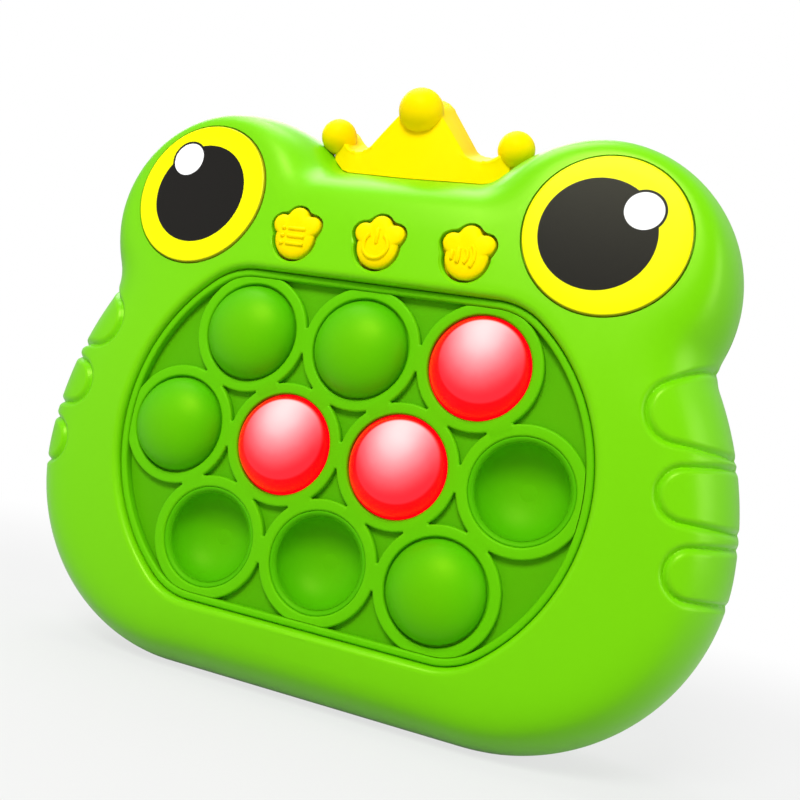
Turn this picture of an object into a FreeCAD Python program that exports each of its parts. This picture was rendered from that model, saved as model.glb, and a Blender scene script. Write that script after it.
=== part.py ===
import FreeCAD, Part
import math
import os

# Hand-held push-bubble game shaped as a frog's head with a crown.
# It stands on its flat chin. X is to the right, Z is up and the face looks along -Y.
# Sizes are in millimetres, and depths are measured backwards from the tops of the bubble rings.

os.makedirs("parts", exist_ok=True)

V = FreeCAD.Vector

# Bubble field: rows of three, four and three bubbles, whose rings run into each other
PITCH = 23.5
WELL_R = 9.7
RING_WALL = 2.2
RING_H = 1.5
BAND_W = 1.8
BAND_GAP = 0.5
BAND_DROP = 0.2
WEB_T = 2.0
PANEL_FLANGE = 2.2
FIELD_MARGIN_X = 0.55
FIELD_MARGIN_Z = 0.75

# Bubbles
DOME_R = 9.0
DOME_RISE = 6.0
DOME_WALL = 1.2
RIM_DEPTH = 1.0
BUBBLE_FLANGE_T = 0.8
BUBBLE_GAP = 0.3
STEM_R = 1.5
STEM_TIP = 1.0

# Panel opening in the face
OPENING_SIDE_R = 38.5
OPENING_CORNER_R = 14.0

# Case outline where it is widest
SIDE_MARGIN = 24.4
CHIN = 14.5
FOREHEAD = 25.1
SIDE_R = 70.0
SIDE_DROP = 7.4
CORNER_R = 41.0
NECK_R = 8.0
VALLEY_R = 6.0
EYE_DOME_R = 28.0
EYE_DOME_IN = 10.1
EYE_DOME_UP = 7.4
FOOT_CUT = 0.8

# Case in depth: the face is a shallow dome, and the edges round over it and over the flat back
FACE_RISE = 3.5
FACE_R = 570.0
FRONT_DEPTH = 20.0
FRONT_INSET = {"side": 20.0, "chin": 15.0, "top": 15.0, "corner": 17.0, "neck": 8.0, "valley": 6.0, "eye": 19.0}
REAR_INSET = {"side": 14.0, "chin": 8.0, "top": 12.0, "corner": 11.0, "neck": 4.0, "valley": 4.0, "eye": 11.0}
ROUND_STEPS = 6
WALL = 2.2

# Eyes
EYE_R = 14.9
EYE_OUT = 4.0
EYE_UP = 6.7
EYE_T = 1.4
EYE_PROUD = 0.25
EYE_GAP = 0.15
EYE_EDGE_R = 0.4
EYE_SEAT_T = 1.6
EYE_SEAT_MARGIN = 1.2

# Finger grips: shallow grooves round three fan-shaped pads on each side. Each pad is given by how far it starts
# inside the case's side, how far its round end lies above the panel's centre, that end's radius, and the
# angle at which its upper edge rises outwards.
GRIPS = ((18.3, 18.4, 5.5, 34.0), (14.2, 4.7, 4.7, 13.0), (10.9, -8.2, 4.5, 9.0))
GROOVE_W = 0.9
GROOVE_D = 0.6

# Collar, bubble frame and main board behind the panel
COLLAR_W = 2.2
FRAME_T = 1.5
FRAME_HOLE_GAP = 0.5
TUBE_WALL = 1.0
POST_R = 2.4
LUG_R = 2.8
LUG_OUT = 6.4
LUG_ANGLE = 38.0
LINK_L = 10.2
BOARD_T = 1.6
BOARD_IN = 2.0
BOARD_ROOM = 3.0
TRAVEL_GAP = 0.5

# Control buttons
BUTTON_PITCH = 17.6
BUTTON_UP = 7.6
PALM_R = 3.9
TOE_R = 1.9
TOE_REACH = 4.3
TOE_SPREAD = 51.0
MIDDLE_TOE_UP = 0.2
PAD_DROP = 0.9
BUTTON_GAP = 0.3
BUTTON_PROUD = 0.6
BUTTON_FLANGE = 0.8
BUTTON_FLANGE_T = 1.0
BUTTON_TRAVEL = 0.8
BUTTON_STEM_R = 2.0
BUTTON_STEM_L = 3.2
BUTTON_BOARD_L = 60.0
BUTTON_BOARD_W = 13.0
BUTTON_BOARD_T = 1.4
BUTTON_POST_X = 26.5
SWITCH_SIDE = 6.0
SWITCH_H = 3.4
PLUNGER_R = 1.7
PLUNGER_H = 1.2
PLUNGER_GAP = 0.05

# Signs on the buttons: a list, a power sign and sound waves, placed from the middle of the sign
ICON_H = 0.25
ICON_W = 0.5
ICON_UP = 0.3
LIST_STEP = 1.4
LIST_DOT_X = -2.0
LIST_START_X = -1.1
LIST_END_X = 2.2
POWER_R = 2.3
POWER_GAP_W = 1.6
POWER_BAR_LOW = 0.4
POWER_BAR_HIGH = 2.7
WAVE_STEP = 1.2
WAVE_HALVES = (0.7, 1.5, 1.5, 0.7)

# Crown
CROWN_FRONT = 6.0
CROWN_BACK = 19.8
CROWN_BOW = 5.3
CROWN_BACK_BOW = 2.8
CROWN_BASE = 17.8
CROWN_TIP_X = 19.2
CROWN_TIP_UP = 7.7
CROWN_VALLEY_X = 11.5
CROWN_VALLEY_UP = 3.7
CROWN_PEAK_UP = 11.9
SIDE_BALL_R = 3.7
PEAK_BALL_R = 4.5
SPIKE_W = 5.0
PEAK_W = 8.0
BALL_IN = 0.4
CROWN_SEAT_GAP = 0.1
TENON_W = 18.0
TENON_T = 5.0
TENON_GAP = 0.15
TENON_FOOT_W = 2.0
TENON_FOOT_T = 1.8

# Batteries and their box
CELL_R = 5.25
CELL_L = 44.5
CELL_GAP = 0.5
CELL_NUB_R = 1.9
CELL_NUB_H = 0.8
CELL_EDGE_R = 0.5
BOX_END = 3.0
BOX_MARGIN = 0.7
BOX_WALL = 1.6
BOX_DROP = 8.4
CONTACT_T = 0.4
CONTACT_SIDE = 8.0
SPRING_R = 3.0
SPRING_TIP_R = 1.9
SPRING_WIRE_R = 0.35

# Battery door
DOOR_T = 2.1
DOOR_GAP = 0.3
DOOR_SEAT_GAP = 0.1
DOOR_LAP = 2.0
DOOR_CORNER_R = 3.0
EAR_R = 4.0
TONGUE_X = 14.0
TONGUE_W = 8.0
TONGUE_T = 1.4
TONGUE_L = 2.2
TONGUE_GAP = 0.25
DOOR_SCREW_UP = 1.2
DOOR_SCREW_IN = 3.0
DOOR_SCREW_GAP = 0.5

# Speaker
SPEAKER_R = 12.0
SPEAKER_T = 4.5
SPEAKER_BASKET_T = 3.5
SPEAKER_RIM_W = 1.0
CONE_DEPTH = 2.5
MAGNET_R = 6.0
MAGNET_T = 3.2
SPEAKER_UP = 32.6
SPEAKER_GAP = 0.2
SPEAKER_WALL = 1.4
GRILLE_HOLE_R = 0.9
GRILLE_STEP = 3.2
GRILLE_RINGS = 3

# Screws
CASE_SCREW_R = 1.4
CASE_HEAD_R = 2.6
CASE_HEAD_H = 1.8
CASE_BOSS_R = 3.6
CASE_HEAD_DEPTH = 28.0
CASE_SCREW_L = 20.0
SMALL_SCREW_R = 1.0
SMALL_HEAD_R = 1.9
SMALL_HEAD_H = 1.2
SMALL_SCREW_L = 5.0
SCREW_GAP = 0.05
HEAD_GAP = 0.3
SLOT_W = 0.6
SLOT_D = 0.7
SLOT_REACH = 0.62
HOLE_EXTRA = 0.5

# Parts on the boards
SNAP_R = 3.0
SNAP_H = 0.9
LED_L = 3.5
LED_W = 2.8
LED_H = 1.6
LED_OFF = 5.0
LED_WINDOW_IN = 0.3
CHIP_SIDE = 12.0
CHIP_H = 1.6
CHIP_PIN = 0.8
CAN_R = 2.5
CAN_H = 6.0
CAN_EDGE_R = 0.5
CAN_PITCH = 7.5
LEAD_R = 0.45
LEAD_GAP = 0.3
LEAD_BEND_SHARE = 0.45
BOX_LEAD_OUT = 8.0
SPEAKER_LEAD_X = 5.0
SPEAKER_LEAD_DROP = 8.5
RIBBON_X = 22.0
RIBBON_W = 8.0
RIBBON_T = 0.8
RIBBON_BACK = 2.6
RIBBON_LAP = 2.5

# How far cutting shapes run past the faces they cut, and how closely a measured edge must match its radius
CUT_EXTRA = 1.0
MATCH = 0.01

# Sizes worked out from the ones above
ROW = PITCH * math.sqrt(3) / 2
RING_R = WELL_R + RING_WALL
OPEN_HALF_W = 1.5 * PITCH + RING_R + FIELD_MARGIN_X
OPEN_HALF_H = ROW + RING_R + FIELD_MARGIN_Z
PANEL_Z = CHIN + OPEN_HALF_H
HALF_W = OPEN_HALF_W + SIDE_MARGIN
SIDE_X = HALF_W - SIDE_R
SIDE_Z = PANEL_Z - SIDE_DROP
TOP_Z = PANEL_Z + OPEN_HALF_H + FOREHEAD
EYE_DOME_X = OPEN_HALF_W - EYE_DOME_IN
EYE_DOME_Z = PANEL_Z + OPEN_HALF_H + EYE_DOME_UP
EYE_X = EYE_DOME_X + EYE_OUT
EYE_Z = EYE_DOME_Z + EYE_UP
BUTTON_Z = PANEL_Z + OPEN_HALF_H + BUTTON_UP
PARTING = FRONT_DEPTH - FACE_RISE
DOME_TOP = RIM_DEPTH - DOME_RISE
BUBBLE_STROKE = 2 * DOME_RISE
FRAME_FRONT = RING_H + WEB_T
BOARD_FRONT = RIM_DEPTH + BUBBLE_FLANGE_T + BUBBLE_STROKE + TRAVEL_GAP
BOARD_BACK = BOARD_FRONT + BOARD_T
CELL_PITCH = 2 * CELL_R + CELL_GAP
BOX_HALF_L = CELL_L / 2 + BOX_END
BOX_HALF_H = CELL_PITCH + CELL_R + BOX_MARGIN
BOX_Z = PANEL_Z - BOX_DROP
BOX_FLOOR = BOARD_BACK + BOARD_ROOM + BOX_WALL
CELL_DEPTH = BOX_FLOOR + BOX_MARGIN + CELL_R
DOOR_FRONT = CELL_DEPTH + CELL_R + BOX_MARGIN
BACK = DOOR_FRONT + DOOR_T
BACK_IN = BACK - WALL
REAR_DEPTH = BACK - PARTING
RING_Y = -(BACK + DOME_TOP) / 2
DOOR_HALF_W = BOX_HALF_L + DOOR_LAP
DOOR_HALF_H = BOX_HALF_H + DOOR_LAP
DOOR_SCREW_Z = BOX_Z + DOOR_HALF_H + DOOR_SCREW_UP
SPEAKER_Z = PANEL_Z + SPEAKER_UP

CENTRES = [(i * PITCH, ROW) for i in (-1, 0, 1)]
CENTRES += [((i - 1.5) * PITCH, 0.0) for i in range(4)]
CENTRES += [(i * PITCH, -ROW) for i in (-1, 0, 1)]
PUSHED_IN = (6, 7, 8)
CASE_SCREWS = [(EYE_X + 0.4, EYE_Z - 1.5), (HALF_W - 13.1, PANEL_Z - 2.4), (HALF_W - 23.1, PANEL_Z - 26.4)]


def at(x, depth, z):
    return V(x, RING_Y + depth, z)


def edge_arc(centre, radius, start, end, depth):
    turns = (start, (start + end) / 2, end)
    return [at(centre[0] + radius * math.cos(a), depth, centre[1] + radius * math.sin(a)) for a in turns]


def mirrored(points):
    return [V(-p.x, p.y, p.z) for p in reversed(points)]


def wire_of(segments):
    edges = []
    for seg in segments:
        if len(seg) == 2:
            edges.append(Part.LineSegment(*seg).toShape())
        else:
            edges.append(Part.Arc(*seg).toShape())
    return Part.Wire(edges)


def prism(wire, length):
    return Part.Face(wire).extrude(V(0, length, 0))


def rod(x, z, radius, start, end):
    return Part.makeCylinder(radius, end - start, at(x, start, z), V(0, 1, 0))


def tube(x, z, outer, inner, start, end):
    return rod(x, z, outer, start, end).cut(rod(x, z, inner, start, end))


def block(x0, x1, d0, d1, z0, z1):
    return Part.makeBox(x1 - x0, d1 - d0, z1 - z0, at(x0, d0, z0))


def fused(shapes):
    return shapes[0].multiFuse(shapes[1:]).removeSplitter() if len(shapes) > 1 else shapes[0]


def both_sides(points):
    return [(s * x, z) for x, z in points for s in (1, -1)]


def tangent_centre(c1, r1, c2, r2, side):
    """Centre of a circle that lies r1 from c1 and r2 from c2, on the given side of the line between them."""
    dx, dz = c2[0] - c1[0], c2[1] - c1[1]
    gap = math.hypot(dx, dz)
    along = (r1 * r1 - r2 * r2 + gap * gap) / (2 * gap)
    off = side * math.sqrt(r1 * r1 - along * along)
    return c1[0] + (dx * along + dz * off) / gap, c1[1] + (dz * along - dx * off) / gap


def angle(c, p):
    return math.atan2(p[1] - c[1], p[0] - c[0])


def case_outline(depth, turn, inset, eye_move, grow):
    """The case outline at one depth: turn is 0 where it is widest and 1 at its end, grow widens it."""
    side_c = (SIDE_X, SIDE_Z)
    side_r = SIDE_R - inset["side"] * turn + grow
    bottom = -FOOT_CUT + inset["chin"] * turn - grow
    corner_r = CORNER_R - inset["corner"] * turn + grow
    corner_z = bottom + corner_r
    corner_x = side_c[0] + math.sqrt((side_r - corner_r) ** 2 - (corner_z - side_c[1]) ** 2)
    eye_c = (EYE_DOME_X + eye_move[0] * turn, EYE_DOME_Z + eye_move[1] * turn)
    eye_r = EYE_DOME_R - inset["eye"] * turn + grow
    neck_r = NECK_R + inset["neck"] * turn - grow
    neck_c = tangent_centre(side_c, side_r + neck_r, eye_c, eye_r + neck_r, 1)
    top = TOP_Z - inset["top"] * turn + grow
    valley_r = VALLEY_R + inset["valley"] * turn - grow
    valley_z = top + valley_r
    valley_x = eye_c[0] - math.sqrt((eye_r + valley_r) ** 2 - (valley_z - eye_c[1]) ** 2)
    valley_c = (valley_x, valley_z)
    corner_c = (corner_x, corner_z)
    side_end = angle(side_c, neck_c)
    eye_start = angle(eye_c, neck_c)
    eye_end = angle(eye_c, valley_c)
    right = [
        edge_arc(corner_c, corner_r, -math.pi / 2, angle(side_c, corner_c), depth),
        edge_arc(side_c, side_r, angle(side_c, corner_c), side_end, depth),
        edge_arc(neck_c, neck_r, side_end + math.pi, eye_start + math.pi, depth),
        edge_arc(eye_c, eye_r, eye_start, eye_end, depth),
        edge_arc(valley_c, valley_r, eye_end - math.pi, -math.pi / 2, depth),
    ]
    left = [mirrored(seg) for seg in reversed(right)]
    floor = [[left[-1][-1], right[0][0]]]
    roof = [[right[-1][-1], left[0][0]]]
    return wire_of(floor + right + roof + left)


def half_form(reach, way, inset, eye_move, grow):
    """Half of the case form, from its widest outline to its front (way -1) or back (way 1)."""
    sections = []
    for step in range(ROUND_STEPS + 1):
        a = math.pi / 2 * step / ROUND_STEPS
        depth = PARTING + way * (reach + grow) * math.sin(a)
        sections.append(case_outline(depth, 1 - math.cos(a), inset, eye_move, grow))
    return Part.makeLoft(sections, True, False)


def front_form(grow=0.0):
    form = half_form(FRONT_DEPTH, -1, FRONT_INSET, (EYE_OUT, EYE_UP), grow)
    face = Part.makeSphere(FACE_R + grow, at(0, FACE_R - FACE_RISE, PANEL_Z))
    return form.common(face)


def rear_form(grow=0.0):
    return half_form(REAR_DEPTH, 1, REAR_INSET, (0.0, 0.0), grow)


def grip_pad(side, pad, grow):
    """A fan-shaped grip pad as a prism: a round end, and edges that run out past the case's side."""
    inward, up, radius, rise = pad
    a, r = math.radians(rise), radius + grow
    x, z = HALF_W - inward + radius, PANEL_Z + up
    far = 2 * HALF_W
    tangent_x, tangent_z = x - r * math.sin(a), z + r * math.cos(a)
    high = tangent_z + (far - tangent_x) * math.tan(a)
    corners = [(x, z - r), (far, z - r), (far, high), (tangent_x, tangent_z)]
    points = [at(side * cx, -BACK, cz) for cx, cz in corners]
    wedge = prism(Part.makePolygon(points + [points[0]]), 3 * BACK)
    return fused([rod(side * x, z, r, -BACK, 2 * BACK), wedge])


def grip_grooves(form_inside):
    """Shallow grooves that outline the finger grips: only what lies outside the form inside is cut."""
    frames = []
    for pad in GRIPS:
        for side in (1, -1):
            frames.append(grip_pad(side, pad, GROOVE_W / 2).cut(grip_pad(side, pad, -GROOVE_W / 2)))
    return Part.makeCompound(frames).cut(form_inside)


def foot():
    reach = HALF_W + SIDE_MARGIN
    return block(-reach, reach, -BACK, 2 * BACK, -2 * CHIN, 0)


def opening_wire(depth, grow):
    """The barrel-shaped outline of the panel opening, offset outwards by grow."""
    half_w, half_h = OPEN_HALF_W + grow, OPEN_HALF_H + grow
    side_r, corner_r = OPENING_SIDE_R + grow, OPENING_CORNER_R + grow
    side_c = (half_w - side_r, 0.0)
    up = half_h - corner_r
    across = side_c[0] + math.sqrt((side_r - corner_r) ** 2 - up * up)
    turn = angle(side_c, (across, up))
    centre_z = PANEL_Z
    right = [
        edge_arc((across, centre_z - up), corner_r, -math.pi / 2, -turn, depth),
        edge_arc((side_c[0], centre_z), side_r, -turn, turn, depth),
        edge_arc((across, centre_z + up), corner_r, turn, math.pi / 2, depth),
    ]
    left = [mirrored(seg) for seg in reversed(right)]
    return wire_of([[left[-1][-1], right[0][0]]] + right + [[right[-1][-1], left[0][0]]] + left)


def opening_prism(grow, start, end):
    return prism(opening_wire(start, grow), end - start)


def face_depth(x, z):
    """Depth of the domed face at a point."""
    return FACE_R - FACE_RISE - math.sqrt(FACE_R ** 2 - x * x - (z - PANEL_Z) ** 2)


def face_normal(x, z):
    centre = at(0, FACE_R - FACE_RISE, PANEL_Z)
    return (at(x, face_depth(x, z), z) - centre).normalize()


def eye_cylinder(side, radius, below, above):
    """A cylinder square to the face at one eye, from below the face to above it."""
    x = side * EYE_X
    normal = face_normal(x, EYE_Z)
    base = at(x, face_depth(x, EYE_Z), EYE_Z) - normal * below
    return Part.makeCylinder(radius, below + above, base, normal)


def paw_prism(x, grow, start, end):
    """A paw outline, a palm with three toes, as a prism."""
    z = BUTTON_Z - PAD_DROP
    shapes = [rod(x, z, PALM_R + grow, start, end)]
    for toe in (-1, 0, 1):
        a = math.radians(90 - toe * TOE_SPREAD)
        reach = TOE_REACH if toe else TOE_REACH + MIDDLE_TOE_UP
        shapes.append(rod(x + reach * math.cos(a), z + reach * math.sin(a), TOE_R + grow, start, end))
    return fused(shapes)


def lugs():
    """Places of the four screws that hold the bubble frame, just outside the panel's corners."""
    across = OPEN_HALF_W - OPENING_SIDE_R
    reach = OPENING_CORNER_R + LUG_OUT
    up = OPEN_HALF_H - OPENING_CORNER_R
    corner_x = across + math.sqrt((OPENING_SIDE_R - OPENING_CORNER_R) ** 2 - up * up)
    a = math.radians(LUG_ANGLE)
    out, rise = corner_x + reach * math.cos(a), up + reach * math.sin(a)
    return [(sx * out, PANEL_Z + sz * rise) for sx in (1, -1) for sz in (1, -1)]


def board_posts():
    """Places of the four screws that hold the main board, in the gaps between three bubbles."""
    return [(sx * PITCH, PANEL_Z + sz * ROW / 3) for sx in (1, -1) for sz in (1, -1)]


def screw(x, z, shank_r, head_r, head_h, seat, length):
    """A screw driven from the back: its head lies behind the seat depth and its shank runs forward."""
    head = rod(x, z, head_r, seat, seat + head_h)
    shank = rod(x, z, shank_r, seat - length, seat)
    slots = [
        block(x - head_r, x + head_r, seat + head_h - SLOT_D, seat + head_h, z - SLOT_W / 2, z + SLOT_W / 2),
        block(x - SLOT_W / 2, x + SLOT_W / 2, seat + head_h - SLOT_D, seat + head_h, z - head_r, z + head_r),
    ]
    cross = fused(slots).common(rod(x, z, SLOT_REACH * head_r, seat, seat + head_h))
    return fused([head, shank]).cut(cross)


def small_screw(x, z, seat):
    return screw(x, z, SMALL_SCREW_R, SMALL_HEAD_R, SMALL_HEAD_H, seat, SMALL_SCREW_L)


def front_shell():
    outer = front_form().cut(foot()).cut(grip_grooves(front_form(-GROOVE_D)))
    shell = outer.cut(front_form(-WALL))
    inside = [opening_prism(COLLAR_W, -2 * FACE_RISE, RING_H)]
    for x, z in both_sides(CASE_SCREWS):
        inside.append(rod(x, z, CASE_BOSS_R, -2 * FACE_RISE, PARTING))
    for x, z in lugs():
        inside.append(rod(x, z, LUG_R, -2 * FACE_RISE, FRAME_FRONT))
    for side in (1, -1):
        inside.append(rod(side * BUTTON_POST_X, BUTTON_Z, POST_R, -2 * FACE_RISE, button_board_front()))
        inside.append(eye_cylinder(side, EYE_R + EYE_SEAT_MARGIN, WALL + EYE_SEAT_T, 0.0))
    shell = fused([shell] + [piece.common(outer) for piece in inside])
    shell = shell.cut(opening_prism(0, -4 * FACE_RISE, FRAME_FRONT))
    shell = shell.cut(opening_prism(PANEL_FLANGE, RING_H, FRAME_FRONT))
    holes = []
    for x, z in both_sides(CASE_SCREWS):
        holes.append(rod(x, z, CASE_SCREW_R + SCREW_GAP, CASE_HEAD_DEPTH - CASE_SCREW_L - HOLE_EXTRA, PARTING))
    for x, z in lugs():
        deep = FRAME_FRONT + FRAME_T - SMALL_SCREW_L - HOLE_EXTRA
        holes.append(rod(x, z, SMALL_SCREW_R + SCREW_GAP, deep, FRAME_FRONT))
    for side in (1, -1):
        deep = button_board_front() + BUTTON_BOARD_T - SMALL_SCREW_L - HOLE_EXTRA
        holes.append(rod(side * BUTTON_POST_X, BUTTON_Z, SMALL_SCREW_R + SCREW_GAP, deep, button_board_front()))
        holes.append(eye_cylinder(side, EYE_R + EYE_GAP, EYE_T - EYE_PROUD, EYE_T))
    for slot in (-1, 0, 1):
        holes.append(paw_prism(slot * BUTTON_PITCH, BUTTON_GAP, -2 * FACE_RISE, FRAME_FRONT))
    holes.append(tenon(TENON_GAP))
    return shell.cut(fused(holes))


def tenon(grow):
    """The crown's root through the case top, with its foot inside."""
    half_w, half_t = TENON_W / 2 + grow, TENON_T / 2 + grow
    neck = block(-half_w, half_w, PARTING - half_t, PARTING + half_t,
                 TOP_Z - WALL - TENON_FOOT_T, TOP_Z + CROWN_VALLEY_UP)
    wide = half_w + TENON_FOOT_W
    deep = half_t + TENON_FOOT_W
    low = TOP_Z - WALL - 2 * TENON_GAP - TENON_FOOT_T - grow
    foot_part = block(-wide, wide, PARTING - deep, PARTING + deep, low, low + TENON_FOOT_T + 2 * grow)
    return neck.fuse(foot_part)


def rear_shell():
    outer = rear_form().cut(foot()).cut(grip_grooves(rear_form(-GROOVE_D)))
    shell = outer.cut(rear_form(-WALL))
    inside = [rod(x, z, CASE_BOSS_R, PARTING, BACK) for x, z in both_sides(CASE_SCREWS)]
    inside.append(block(-BOX_HALF_L - BOX_WALL, BOX_HALF_L + BOX_WALL, BOX_FLOOR - BOX_WALL, BACK,
                        BOX_Z - BOX_HALF_H - BOX_WALL, BOX_Z + BOX_HALF_H + BOX_WALL))
    inside.append(tube(0, SPEAKER_Z, SPEAKER_R + SPEAKER_GAP + SPEAKER_WALL, SPEAKER_R + SPEAKER_GAP,
                       BACK_IN - SPEAKER_T, BACK))
    boss_r = SMALL_SCREW_R + DOOR_SCREW_GAP + BOX_WALL
    inside.append(rod(0, DOOR_SCREW_Z, boss_r, DOOR_FRONT - 2 * DOOR_SCREW_IN, BACK))
    shell = fused([shell] + [piece.common(outer) for piece in inside])
    holes = [block(-BOX_HALF_L, BOX_HALF_L, BOX_FLOOR, BACK, BOX_Z - BOX_HALF_H, BOX_Z + BOX_HALF_H)]
    holes.append(door_plate(DOOR_GAP, DOOR_FRONT - DOOR_SEAT_GAP))
    deep = DOOR_FRONT - DOOR_SCREW_IN - HOLE_EXTRA
    holes.append(rod(0, DOOR_SCREW_Z, SMALL_SCREW_R + DOOR_SCREW_GAP, deep, BACK))
    for side in (1, -1):
        half = TONGUE_W / 2 + TONGUE_GAP
        x0, x1 = side * TONGUE_X - half, side * TONGUE_X + half
        low, edge, high = BOX_Z - DOOR_HALF_H - TONGUE_L - CUT_EXTRA, BOX_Z - DOOR_HALF_H, BOX_Z - BOX_HALF_H
        holes.append(block(x0, x1, BOX_FLOOR + CELL_R, BACK_IN, low, high))
        holes.append(block(x0, x1, BOX_FLOOR + CELL_R, DOOR_FRONT, edge, high))
    for x, z in both_sides(CASE_SCREWS):
        holes.append(rod(x, z, CASE_SCREW_R + HEAD_GAP, PARTING, BACK))
        holes.append(rod(x, z, CASE_HEAD_R + HEAD_GAP, CASE_HEAD_DEPTH, BACK + CUT_EXTRA))
    for x, z in grille_holes():
        holes.append(rod(x, z, GRILLE_HOLE_R, BACK_IN - CUT_EXTRA, BACK + CUT_EXTRA))
    for side in (1, -1):
        z = BOX_Z + side * CELL_PITCH
        end = BOX_HALF_L + BOX_WALL + CUT_EXTRA
        holes.append(rod_x(BOX_HALF_L - CUT_EXTRA, end, CELL_DEPTH, z, LEAD_R + LEAD_GAP))
    holes.append(tenon(TENON_GAP))
    return shell.cut(fused(holes))


def rod_x(x0, x1, depth, z, radius):
    return Part.makeCylinder(radius, x1 - x0, at(x0, depth, z), V(1, 0, 0))


def grille_holes():
    places = [(0.0, SPEAKER_Z)]
    for ring in range(1, GRILLE_RINGS + 1):
        count = 6 * ring
        for i in range(count):
            a = 2 * math.pi * i / count
            places.append((ring * GRILLE_STEP * math.cos(a), SPEAKER_Z + ring * GRILLE_STEP * math.sin(a)))
    return places


def door_plate(grow, start):
    """The battery door's plate with its screw ear, or its recess when grown."""
    z0, z1 = BOX_Z - DOOR_HALF_H - grow, BOX_Z + DOOR_HALF_H + grow
    plate = block(-DOOR_HALF_W - grow, DOOR_HALF_W + grow, start, BACK, z0, z1)
    upright = [e for e in plate.Edges if abs(e.tangentAt(e.FirstParameter).y) > 1 - MATCH]
    plate = plate.makeFillet(DOOR_CORNER_R, upright)
    ear = rod(0, DOOR_SCREW_Z, EAR_R + grow, start, BACK)
    neck = block(-EAR_R - grow, EAR_R + grow, start, BACK, BOX_Z, DOOR_SCREW_Z)
    return fused([plate, ear, neck])


def battery_door():
    plate = door_plate(0, DOOR_FRONT)
    tongues = []
    for side in (1, -1):
        x0, x1 = side * TONGUE_X - TONGUE_W / 2, side * TONGUE_X + TONGUE_W / 2
        back = BACK_IN - TONGUE_GAP
        low, edge, high = BOX_Z - DOOR_HALF_H - TONGUE_L, BOX_Z - DOOR_HALF_H, BOX_Z - BOX_HALF_H
        tongues.append(block(x0, x1, back - TONGUE_T, back, low, high - TONGUE_GAP))
        tongues.append(block(x0, x1, back - TONGUE_T, DOOR_FRONT, edge + TONGUE_GAP, high - TONGUE_GAP))
    door = fused([plate] + tongues)
    door = door.cut(rod(0, DOOR_SCREW_Z, SMALL_SCREW_R + HEAD_GAP, DOOR_FRONT, BACK))
    return door.cut(rod(0, DOOR_SCREW_Z, SMALL_HEAD_R + HEAD_GAP, BACK - SMALL_HEAD_H, BACK))


def door_screw():
    return screw(0, DOOR_SCREW_Z, SMALL_SCREW_R, SMALL_HEAD_R, SMALL_HEAD_H, BACK - SMALL_HEAD_H,
                 DOOR_T - SMALL_HEAD_H + DOOR_SCREW_IN)


def bowed_block(front, bow, back, back_bow, low, high):
    """A block whose front and back are arcs seen from above: the middle is forward of the ends by the bow."""
    reach = CROWN_TIP_X
    edges = [
        [at(-reach, front + bow, low), at(0, front, low), at(reach, front + bow, low)],
        [at(reach, front + bow, low), at(reach, back + back_bow, low)],
        [at(reach, back + back_bow, low), at(0, back, low), at(-reach, back + back_bow, low)],
        [at(-reach, back + back_bow, low), at(-reach, front + bow, low)],
    ]
    return Part.Face(wire_of(edges)).extrude(V(0, 0, high - low))


def crown():
    """Three spikes with balls on their tips, bowed forwards, standing on the case top between the eyes."""
    base_z = TOP_Z - CHIN
    tip_z, valley_z, peak_z = TOP_Z + CROWN_TIP_UP, TOP_Z + CROWN_VALLEY_UP, TOP_Z + CROWN_PEAK_UP
    right = [
        (CROWN_BASE, base_z),
        (CROWN_BASE, TOP_Z),
        (CROWN_TIP_X, tip_z - SIDE_BALL_R / 2),
        (CROWN_TIP_X, tip_z),
        (CROWN_TIP_X - SPIKE_W / 2, tip_z),
        (CROWN_VALLEY_X, valley_z),
        (PEAK_W / 2, peak_z),
    ]
    points = [at(x, 0, z) for x, z in right] + [at(-x, 0, z) for x, z in reversed(right)]
    body = prism(Part.makePolygon(points + [points[0]]), BACK)
    body = body.common(bowed_block(CROWN_FRONT, CROWN_BOW, CROWN_BACK, CROWN_BACK_BOW, base_z, peak_z))
    body = body.cut(front_form(CROWN_SEAT_GAP)).cut(rear_form(CROWN_SEAT_GAP))
    balls = [Part.makeSphere(PEAK_BALL_R, at(0, CROWN_FRONT + BALL_IN, peak_z))]
    side_depth = CROWN_FRONT + CROWN_BOW + BALL_IN
    balls += [Part.makeSphere(SIDE_BALL_R, at(side * CROWN_TIP_X, side_depth, tip_z)) for side in (1, -1)]
    return fused([max(body.Solids, key=lambda s: s.Volume)] + balls + [tenon(0)])


def circles(shape, radius):
    rings = [e for e in shape.Edges if e.Curve.TypeId == "Part::GeomCircle"]
    return [e for e in rings if abs(e.Curve.Radius - radius) < MATCH]


def eye_disc(side):
    disc = eye_cylinder(side, EYE_R, EYE_T - EYE_PROUD, EYE_PROUD)
    normal = face_normal(side * EYE_X, EYE_Z)
    front = max(circles(disc, EYE_R), key=lambda e: (e.CenterOfMass - disc.CenterOfMass).dot(normal))
    return disc.makeFillet(EYE_EDGE_R, [front])


def bubble_panel():
    shapes = [opening_prism(PANEL_FLANGE, RING_H, RING_H + WEB_T)]
    band = opening_prism(-BAND_GAP, BAND_DROP, RING_H)
    shapes.append(band.cut(opening_prism(-BAND_GAP - BAND_W, BAND_DROP, RING_H)))
    for x, z in CENTRES:
        shapes.append(rod(x, PANEL_Z + z, RING_R, 0, RING_H))
    keep = fused([opening_prism(-BAND_GAP, 0, RING_H), opening_prism(PANEL_FLANGE, RING_H, RING_H + WEB_T)])
    panel = fused(shapes).common(keep)
    return panel.cut(fused([rod(x, PANEL_Z + z, WELL_R, 0, RING_H + WEB_T) for x, z in CENTRES]))


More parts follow.
